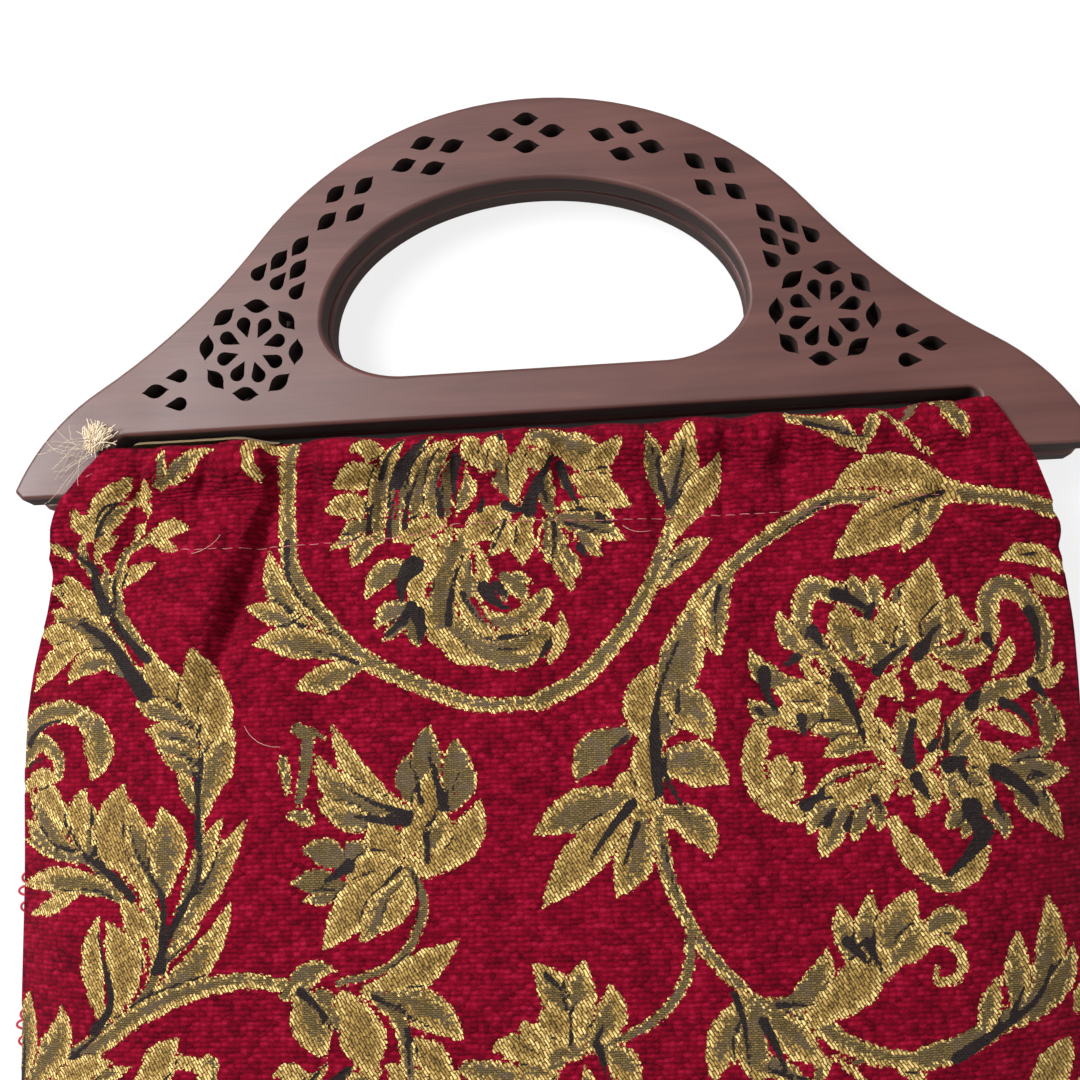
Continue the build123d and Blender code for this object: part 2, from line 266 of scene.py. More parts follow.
# The scroll is drawn in millimetres: across the bag, then down from the rod. Each blade or
# stem gives its share of gold thread, its half width, and the points of its middle line.
gilt = 1.6
rimmed = 0.50
olive = 0.22
dusky = -0.15
left_branch = {
    "stems": [
        (olive, 1.5, -157, 171, -148, 167, -131.5, 160, -121, 152, -111.5, 145.5, -107.5, 139, -105, 130,
            -99.5, 120, -96, 106, -96, 91, -95.5, 81),
        (olive, 1.8, -95.5, 87.5, -98, 75.5, -105, 65.5, -112.5, 60.5, -118.5, 54.5, -124, 44.5, -127, 33.5,
            -131, 23.5),
    ],
    "blades": [
        (gilt, 2.9, -128.5, 19.5, -123.5, 10, -114.5, 3),
        (gilt, 2.6, -126.5, 18.5, -131, 17.5, -132, 11.5),
        (rimmed, 2.7, -125.5, 20, -122, 14.5, -115, 11),
        (gilt, 2.5, -116.5, 11, -111.5, 8.5, -111, 4),
        (gilt, 1.5, -114, 9.5, -111, 12, -111.5, 15),
        (rimmed, 1.9, -129, 29.5, -132.5, 24.5, -130, 19.5),
        (gilt, 2.2, -126.5, 25.5, -126, 22, -120, 19.5),
        (olive, 1.7, -124.5, 40.5, -123.5, 33.5, -125.5, 26),
        (gilt, 1.5, -135, 25, -137.5, 22.5, -142, 21),
        (gilt, 2.9, -111, 21, -105.5, 16.5, -99, 19),
        (gilt, 1.7, -111, 21.5, -106, 23, -102, 25.5),
        (gilt, 1.6, -115, 20.5, -114.5, 18.5, -112.5, 16),
        (gilt, 2.2, -122, 35, -117, 29.5, -109, 28),
        (olive, 1.3, -107.5, 4.5, -104.5, 0, -106, -2.5),
        (rimmed, 2.1, -108, 5.5, -102, 1, -91, -2.5),
        (olive, 6.5, -119, 56.5, -129, 48.5, -143, 39),
        (gilt, 3.8, -124, 43, -132, 36, -143, 33),
        (gilt, 3.4, -131, 38, -135.5, 34.5, -137, 29.5),
        (gilt, 3.4, -132, 49, -141, 46.5, -147.5, 45),
        (gilt, 3.4, -131, 50, -142, 51, -150, 62.5),
        (rimmed, 3.4, -121, 55.5, -133.5, 52.5, -136.5, 61),
        (gilt, 5.2, -97, 75.5, -106.5, 68, -111, 51),
        (gilt, 6.0, -95.5, 79, -94.5, 65, -99, 52),
        (gilt, 4.6, -94, 81, -89.5, 70.5, -93.5, 60),
        (rimmed, 3.2, -99, 73, -107, 69.5, -116, 66.5),
        (rimmed, 3.4, -97, 78.5, -104, 75.5, -112, 74.5),
        (olive, 3.2, -96, 84, -102.5, 81.5, -109, 78),
        (rimmed, 2.3, -96, 87.5, -101.5, 84, -107, 82),
        (rimmed, 2.5, -96, 98, -99, 91, -102, 85.5),
        (rimmed, 4.6, -95.5, 97, -91.5, 85, -86.5, 74.5),
        (olive, 2.8, -129.5, 109.5, -144, 105.5, -153.5, 104.5),
        (rimmed, 3.8, -133.5, 108.5, -146, 99.5, -151, 89.5),
        (gilt, 3.8, -136, 101, -141.5, 93, -148.5, 87),
        (rimmed, 2.3, -141.5, 106.5, -150, 102, -153, 98),
        (olive, 4.2, -123, 115.5, -127.5, 106, -128.5, 93.5),
        (gilt, 3.8, -131.5, 106, -134.5, 98, -130, 90),
        (gilt, 7.7, -109, 116.5, -126.5, 106, -118, 89),
        (rimmed, 4.4, -106.5, 117, -114, 106, -116, 93.5),
        (rimmed, 5.5, -106, 117, -103, 104.5, -107, 95.5),
        (rimmed, 3.8, -119, 119, -134, 112.5, -154.5, 117),
        (gilt, 2.3, -132, 118, -141, 122.5, -150, 125),
        (rimmed, 3.2, -106, 138.5, -106, 126.5, -114.5, 115.5),
        (gilt, 4.4, -110, 138, -110, 127.5, -119, 119.5),
        (gilt, 3.6, -124, 152, -130.5, 134.5, -125, 124.5),
        (gilt, 5.5, -119.5, 150, -114, 138, -123, 125.5),
        (rimmed, 4.2, -117.5, 153, -93, 141, -86.5, 120),
        (olive, 2.5, -107.5, 138.5, -102, 130.5, -94.5, 126),
        (rimmed, 4.4, -103.5, 132, -96, 120.5, -82.5, 99.5),
        (rimmed, 3.0, -100, 123.5, -96, 109, -89, 98.5),
    ],
    "curls": [
        (rimmed, 1.5, -122.5, 38, -121, 31.5, -117.5, 24, -110.5, 20.5),
        (rimmed, 2.0, -122, 36, -120.5, 42.5, -116.5, 48, -112.5, 52),
    ],
    "cuts": [
        (0.8, -121.5, 112.5, -117, 114.5, -114, 118, -111.5, 123),
        (0.8, -111, 130.5, -110, 137, -112, 143, -117.5, 149),
        (1.2, -104.5, 131, -104, 126.5, -101.5, 118, -99, 111.5),
        (1.1, -123, 43.5, -120, 49, -116, 52.5),
        (1.5, -115.5, 12.5, -117.5, 15.5, -119, 18.5),
    ],
    "veins": [
        (1.2, -106, 138.5, -105.5, 126.5, -106, 119, -109.5, 114, -114, 107, -116, 100.5),
        (1.3, -115, 119.5, -120, 114.5, -127.5, 110, -132.5, 105.5, -135.5, 99.5),
        (0.7, -133.5, 107, -141.5, 105, -147.5, 99.5, -150, 92.5),
        (0.8, -119, 117, -124, 111, -126.5, 107, -126.5, 102.5),
        (0.5, -121, 119.5, -128, 117.5, -139, 118, -149.5, 119.5),
        (1.4, -127, 155, -122, 149, -122, 142.5, -124, 135, -125.5, 129),
        (1.2, -108, 139, -104.5, 130.5, -99.5, 121.5, -96, 114, -96, 101.5, -97.5, 88.5),
        (0.6, -107.5, 138.5, -102, 134, -96.5, 130),
        (0.5, -99, 119, -94.5, 115.5),
        (0.9, -96.5, 106.5, -96.5, 93, -95.5, 84, -97, 76.5, -101, 70, -106, 65.5),
        (2.7, -112, 64.5, -117, 58.5, -122, 52, -126.5, 47.5, -133, 43.5),
        (1.4, -111, 55, -116.5, 50.5, -120.5, 46, -123.5, 41.5, -126, 35, -129.5, 27.5),
        (1.4, -125.5, 40.5, -128, 33.5, -128, 29, -131, 26, -135.5, 22.5),
        (0.6, -126.5, 30, -130, 24.5, -131, 21.5),
        (0.7, -122.5, 40.5, -122.5, 34, -121, 29.5),
        (0.7, -126, 19.5, -123.5, 15, -118.5, 10),
        (0.4, -96.5, 88.5, -98.5, 85.5, -100, 83),
    ],
}
left_curl = {
    "stems": [
        (rimmed, 3.3, -152, 76.5, -148, 70.5, -138, 68.5, -128.5, 72, -124, 78),
    ],
    "blades": [
        (rimmed, 4.7, -132, 71, -122.5, 77.5, -129, 88),
        (gilt, 2.6, -153, 90, -145.5, 84.5, -139, 88),
    ],
    "curls": [
        (rimmed, 2.6, -152.5, 81.5, -147, 77, -140, 81, -139.5, 86.5),
    ],
    "veins": [
        (1.1, -151.5, 77.5, -148.5, 71.5, -139, 71),
        (0.6, -151.5, 83.5, -147, 80.5, -144, 83.5),
    ],
}
left_vine = {
    "stems": [
        (rimmed, 2.6, -69, -3, -72, 10, -71.5, 24.5, -69.5, 33.5, -62.5, 44.5, -52.5, 55.5, -38.5, 63.5,
            -19.5, 71, -2, 71),
        (rimmed, 2.5, -2, 71, 9.5, 65, 20.5, 54, 27.5, 44.5, 32.5, 33.5, 37, 22.5, 38, 15.5),
    ],
    "blades": [
        (rimmed, 3.5, -65.5, 48, -76, 40, -77.5, 25),
        (rimmed, 3.1, -64.5, 50, -77, 42, -85, 41.5),
        (rimmed, 4.5, -55.5, 56, -69.5, 50, -81.5, 52),
        (rimmed, 4.1, -52, 59, -59.5, 62.5, -69.5, 64.5),
        (olive, 3.3, 36, 20.5, 32.5, 8, 30.5, -2),
        (rimmed, 5.1, 37, 20.5, 38, 7, 43, -2.5),
        (gilt, 4.3, 37.5, 25.5, 46, 14.5, 50, 4.5),
        (rimmed, 3.5, 33.5, 39.5, 40, 30, 47, 29),
    ],
    "curls": [
        (gilt, 1.8, -72.5, -3, -79, -4, -81, 1, -78.5, 4),
    ],
    "veins": [
        (0.9, -72, 23.5, -70.5, 35.5, -61.5, 46.5, -52.5, 55.5),
        (0.7, -52, 58.5, -59.5, 55, -65.5, 54.5),
        (0.5, -67.5, 48, -74, 40, -77, 35),
        (0.9, 35.5, 19.5, 33.5, 9.5, 31.5, 2.5),
        (0.9, 36.5, 18.5, 39, 8, 41, 1.5),
        (0.5, 35, 35.5, 39, 33, 42, 32),
    ],
}
top_peony = {
    "stems": [
        (rimmed, 5.2, -24, 26.5, -28.5, 35, -29.5, 45, -26, 51.5, -17, 56, -7.5, 56.5, 0, 52.5),
        (rimmed, 3.6, -20.5, 32.5, -21, 41.5, -16.5, 48.5, -9.5, 49.5, -3, 46, 0.5, 42.5),
    ],
    "blades": [
        (olive, 2.7, -20.5, 55, -11, 63, 0.5, 57.5),
        (gilt, 2.0, 1, 60, 6, 54, 4.5, 46.5),
        (gilt, 2.7, -27.5, 51, -26.5, 55.5, -20.5, 60.5),
        (gilt, 3.3, -29, 31, -37.5, 38, -34, 45),
        (olive, 3.5, -36, 33.5, -45, 30, -49.5, 41),
        (olive, 3.1, -36.5, 43.5, -44.5, 43.5, -46.5, 49.5),
        (olive, 1.9, -38, 47.5, -41.5, 49.5, -44.5, 53),
        (dusky, 2.5, -36, 45.5, -36, 50.5, -34.5, 55),
        (gilt, 4.1, -43.5, 6.5, -50.5, 4.5, -58.5, 8.5),
        (gilt, 2.7, -42, 2, -47.5, -3, -52, 0),
        (gilt, 3.7, -46.5, 15.5, -54, 13, -60.5, 16),
        (olive, 2.7, -47, 19.5, -52.5, 20.5, -57, 23.5),
        (rimmed, 1.5, -51, 23, -56, 24, -59.5, 26.5),
        (rimmed, 2.8, -46.5, 23.5, -51.5, 25.5, -53, 32),
        (rimmed, 3.3, -46, 24, -47, 7, -36.5, -3.5),
        (olive, 3.1, -41, 22.5, -41, 6, -28.5, -3),
        (rimmed, 3.6, -34, 21.5, -37, 7.5, -24, -2.5),
        (rimmed, 2.8, -29.5, 21.5, -32.5, 7.5, -21, -2.5),
        (dusky, 2.3, -25.5, 17.5, -29, 8.5, -21, 2.5),
        (rimmed, 2.6, -24, 17.5, -18, 11.5, -20, 4.5),
        (gilt, 3.2, -16.5, 5, -18, -0.5, -20.5, -3),
        (gilt, 2.5, -15, 5, -12.5, 1, -11, -3),
        (rimmed, 3.8, -7, 16.5, -12.5, 7.5, -9, -2.5),
        (gilt, 3.0, -6.5, 15.5, -5.5, 6, -2.5, -1.5),
        (gilt, 2.5, -3, 7, -0.5, 3, 4, 3.5),
        (olive, 2.6, 3.5, 19, -0.5, 11.5, 3.5, 6.5),
        (rimmed, 4.7, 0, -1, 12, 0, 20.5, 11),
        (gilt, 2.7, 13.5, 5, 19, 5.5, 23.5, -0.5),
        (gilt, 4.1, 7.5, 10.5, 16.5, 11.5, 25.5, 19),
        (gilt, 3.2, 7, 17.5, 14.5, 17.5, 20.5, 22),
        (olive, 3.5, 3, 21, 13.5, 21.5, 23.5, 28),
        (rimmed, 2.3, 8, 23.5, 14, 29, 17, 32.5),
        (rimmed, 3.2, 3, 21, 5, 30.5, 8, 42),
        (rimmed, 2.2, 5.5, 28.5, 9.5, 34.5, 10, 38),
        (rimmed, 2.2, 1.5, 21.5, 0, 27.5, 2, 33.5),
        (gilt, 3.6, -28, 20.5, -34.5, 22, -41.5, 25),
        (gilt, 3.0, -30, 26, -34.5, 27, -34, 32),
        (gilt, 4.4, -9.5, 18, -17.5, 20.5, -21, 27.5),
        (gilt, 3.6, -3.5, 20, -6.5, 25.5, -5, 33.5),
        (gilt, 3.2, -10.5, 19.5, -8, 25, -15, 30),
        (gilt, 2.6, -18.5, 28, -16.5, 33.5, -16, 40),
        (rimmed, 2.5, -10.5, 42, -9, 35, -2.5, 38.5),
        (olive, 2.5, -12, 36, -5.5, 38.5, -5, 44.5),
    ],
    "cuts": [
        (0.7, -40, 9.5, -40.5, 14, -41, 18.5),
        (0.7, -21.5, -0.5, -27, 5, -28.5, 10),
        (1.6, -18, 6, -16, 11, -12, 6.5),
        (1.4, -16, 9, -12, 13, -7.5, 17),
        (0.6, -2, 6.5, -3.5, 11.5, -6.5, 17),
        (1.1, 8, 11, 9.5, 13, 11, 15.5),
        (0.6, 0.5, 24, 0, 27.5, 0, 31),
        (0.6, 9, 24.5, 10, 27.5, 11, 30.5),
        (0.9, -24.5, 16.5, -23.5, 21, -24.5, 25.5),
        (0.8, -19.5, 29.5, -19, 33, -18.5, 37),
        (1.0, -14, 37, -11.5, 33, -8.5, 30),
        (0.9, -19.5, 42, -17.5, 47, -13, 51),
        (0.6, -31, 37, -32, 40.5, -33, 43.5),
    ],
    "veins": [
        (0.9, -44.5, 7, -42.5, 1, -37, -3),
        (2.2, -40, 8, -37.5, 2.5, -31, -2),
        (0.8, -38, 21.5, -38, 12.5, -33, 5),
        (0.9, -43, 23.5, -43, 16.5, -40, 10.5),
        (0.9, -48.5, 22, -48.5, 16.5, -46.5, 13.5),
        (1.4, -22.5, 3, -25, 8, -23.5, 14.5),
        (1.1, -28, 18, -28.5, 14.5, -27, 10),
        (2.1, -3, 18, -1.5, 10.5, 4, 3.5),
        (1.5, 6, 6.5, 7.5, 12.5, 11.5, 18.5),
        (0.9, 0.5, 10, 1.5, 15, 2.5, 17.5),
        (0.7, 7, 22, 16.5, 24.5, 21, 26.5),
        (1.1, 16, 21.5, 19.5, 22.5),
        (1.4, 10.5, 29, 12.5, 31.5),
        (0.7, 3.5, 22, 4.5, 28.5, 2.5, 33.5),
        (0.7, -10, 20.5, -12.5, 26, -15, 30.5),
        (1.1, -26.5, 48.5, -26.5, 39, -22, 29.5),
        (1.9, -16.5, 39, -13.5, 44.5, -9, 45.5),
        (1.4, -13, 38.5, -9.5, 42.5),
        (0.9, -22.5, 40.5, -20, 46, -16.5, 49),
        (0.9, -12, 53, -3, 52.5),
        (1.2, 1, 55.5, -1.5, 59),
        (2.8, -35.5, 32, -40.5, 35, -39, 41.5),
        (1.7, -36.5, 43.5, -38.5, 48, -44, 51.5),
        (2.2, -35, 45.5, -33.5, 50, -34.5, 53.5),
        (0.7, -10, -2.5, -9, 1),
        (0.9, -17, 17.5, -15, 13.5),
        (1.4, -9.5, 16.5, -6.5, 18.5, -3, 18),
    ],
}
right_vine = {
    "stems": [
        (rimmed, 2.1, 139, 26, 128, 22.5, 117.5, 20.5, 108.5, 18.5, 93.5, 20, 80, 19, 67.5, 25, 56, 33,
            48, 40, 41, 47, 36, 54.5, 33, 64.5, 30.5, 76.5, 29, 87, 28, 98),
    ],
    "blades": [
        (gilt, 5.1, 109.5, 18, 94.5, 6.5, 80, 17),
        (gilt, 6.5, 109.5, 19.5, 94.5, 23.5, 78.5, 36),
        (rimmed, 3.5, 107.5, 21.5, 101.5, 28.5, 97, 35),
        (rimmed, 2.9, 108.5, 20.5, 106, 24, 103, 28.5),
        (rimmed, 3.5, 50.5, 39, 44, 50, 47, 62),
        (rimmed, 2.9, 69, -3.5, 80.5, -2, 89.5, 7),
        (rimmed, 1.7, 88, 5.5, 90, 0.5, 93.5, -3.5),
        (rimmed, 2.6, 107.5, -3.5, 113, -1, 116, 5.5),
        (dusky, 1.4, 99, -1, 102, -3.5, 105, -4.5),
        (gilt, 3.1, 139.5, 40.5, 131, 33.5, 123, 38),
        (gilt, 2.6, 139.5, 47, 133.5, 45.5, 131.5, 42),
    ],
    "curls": [
        (gilt, 0.8, 94.5, -3, 99.5, 2.5, 107, 8.5),
    ],
    "veins": [
        (0.8, 109.5, 19, 99, 21, 89.5, 25),
        (0.6, 79, 20, 67.5, 26, 58, 33),
        (0.8, 48, 42, 45.5, 49.5, 46.5, 55),
        (0.8, 40, 49, 35, 58, 33, 64.5),
        (0.9, 73.5, -1.5, 83.5, 2, 89.5, 3),
        (0.6, 133, 36.5, 129, 37),
    ],
}
spray = {
    "blades": [
        (dusky, 4.5, 20, 80.5, 11, 82, 7, 92.5),
        (olive, 5.9, 32, 79, 35.5, 62, 43, 44.5),
        (rimmed, 5.7, 31, 69, 39.5, 73, 43.5, 83),
        (gilt, 4.5, 29, 83.5, 20.5, 74, 30, 62),
        (rimmed, 6.1, 29, 90, 39, 85.5, 47.5, 94.5),
        (rimmed, 4.7, 30, 101.5, 40.5, 102.5, 42, 113),
        (gilt, 3.5, 28.5, 98.5, 21.5, 88.5, 17, 96.5),
        (gilt, 4.3, 28, 98, 24.5, 89, 28.5, 78),
        (gilt, 3.7, 29.5, 104, 24.5, 98.5, 23.5, 106.5),
        (olive, 5.7, 22.5, 98.5, 8.5, 97, -4.5, 106),
        (gilt, 5.5, 22.5, 99.5, 10, 109, -3, 124.5),
        (rimmed, 5.3, 23.5, 102, 24, 112, 16.5, 122.5),
    ],
    "curls": [
        (rimmed, 1.9, 28.5, 103, 30, 116.5, 35, 129.5, 40.5, 138, 49, 147, 55.5, 150.5),
        (olive, 1.4, 35.5, 131, 34, 141.5, 29.5, 149, 22, 155, 12, 159),
    ],
    "veins": [
        (1.3, 29, 96, 28, 82.5, 30.5, 69, 36, 56.5),
        (0.8, 35, 75, 35.5, 67.5),
        (1.2, 29, 77, 29.5, 88, 34, 98, 37, 103.5),
        (0.8, 21, 81.5, 16, 85),
        (1.4, 22, 98.5, 15.5, 104.5, 10, 113),
        (1.0, 23, 104, 20.5, 110, 19, 114.5),
        (0.6, 29.5, 109.5, 31, 118, 35, 128.5),
    ],
}
bottom_flower = {
    "blades": [
        (rimmed, 5.1, 5, 159, 3, 147.5, -6, 138),
        (rimmed, 4.1, 7.5, 156.5, 4.5, 144.5, 8, 137.5),
        (rimmed, 4.3, 9.5, 159, 16.5, 150.5, 13.5, 144),
        (gilt, 4.5, 3, 157.5, -3, 153, -1.5, 148.5),
        (gilt, 2.6, 4.5, 156, 7.5, 150.5, 8.5, 147),
        (rimmed, 4.1, 11, 160, 17, 162.5, 20.5, 169.5),
        (rimmed, 4.7, 5, 160, -3, 160.5, -12.5, 169),
        (gilt, 3.7, -4, 163, -12.5, 157, -17.5, 160.5),
        (gilt, 3.1, -3, 159.5, -9, 155, -9, 152.5),
    ],
    "veins": [
        (1.0, -2.5, 141.5, 3.5, 147),
        (0.8, 9.5, 159, 12.5, 152),
        (0.6, 3, 159, 4.5, 152, 2, 147),
        (1.2, 10.5, 160, 12.5, 167.5),
    ],
}
curled_leaf = {
    "stems": [
        (rimmed, 2.6, 55.5, 150.5, 64, 153, 71.5, 159, 81.5, 163.5, 92.5, 164.5, 102.5, 161.5),
    ],
    "blades": [
        (olive, 3.9, 56.5, 150.5, 67.5, 150, 70, 136),
        (rimmed, 3.5, 79.5, 143.5, 74, 134, 73.5, 125),
        (rimmed, 3.5, 82.5, 141, 79.5, 131.5, 82, 122.5),
        (rimmed, 5.3, 84.5, 142, 88, 131, 93, 122.5),
        (rimmed, 3.9, 85.5, 141, 95, 134.5, 98, 129.5),
        (rimmed, 3.9, 95, 134.5, 103, 127.5, 106, 132),
        (gilt, 5.7, 66, 153, 74.5, 149, 86, 137),
        (rimmed, 4.5, 49, 148.5, 42, 155.5, 39, 169),
        (rimmed, 4.5, 52.5, 151, 60, 159, 68, 165),
        (olive, 4.3, 50.5, 151, 48, 159.5, 51, 170),
    ],
    "curls": [
        (gilt, 1.3, 94, 134.5, 101, 136, 104, 140.5, 102, 145, 97.5, 145.5, 97, 142.5),
    ],
    "veins": [
        (0.9, 56.5, 150, 66, 150),
        (1.4, 75, 135, 80.5, 141),
        (1.3, 80, 135, 84, 143.5),
        (1.0, 45.5, 147, 48.5, 153.5, 48.5, 168.5),
        (1.4, 52.5, 154, 56, 160.5, 58, 168.5),
    ],
}
corner_leaf = {
    "stems": [
        (olive, 3.0, 92.5, 164.5, 102.5, 161.5, 112, 157, 123, 151.5),
        (olive, 2.0, 136, 208, 127, 197, 121.5, 185, 119.5, 174),
    ],
    "blades": [
        (rimmed, 2.9, 108, 160, 110, 151.5, 113, 145),
        (rimmed, 3.7, 118, 156, 118, 143, 119, 134),
        (rimmed, 4.5, 121, 153, 131.5, 140.5, 128, 125.5),
        (olive, 3.3, 121.5, 155.5, 134, 147.5, 135, 138.5),
        (rimmed, 3.6, 121, 187, 113, 184, 107, 176),
        (rimmed, 4.4, 121, 187, 134, 180, 140, 167),
        (gilt, 4.9, 119, 175, 127.5, 169, 131.5, 161.5),
        (gilt, 1.8, 134, 155.5, 135, 152, 136.5, 149),
    ],
    "veins": [
        (1.5, 100.5, 164.5, 112, 158.5, 123, 151.5, 128, 143.5),
        (0.9, 116, 155, 119.5, 148.5),
    ],
}
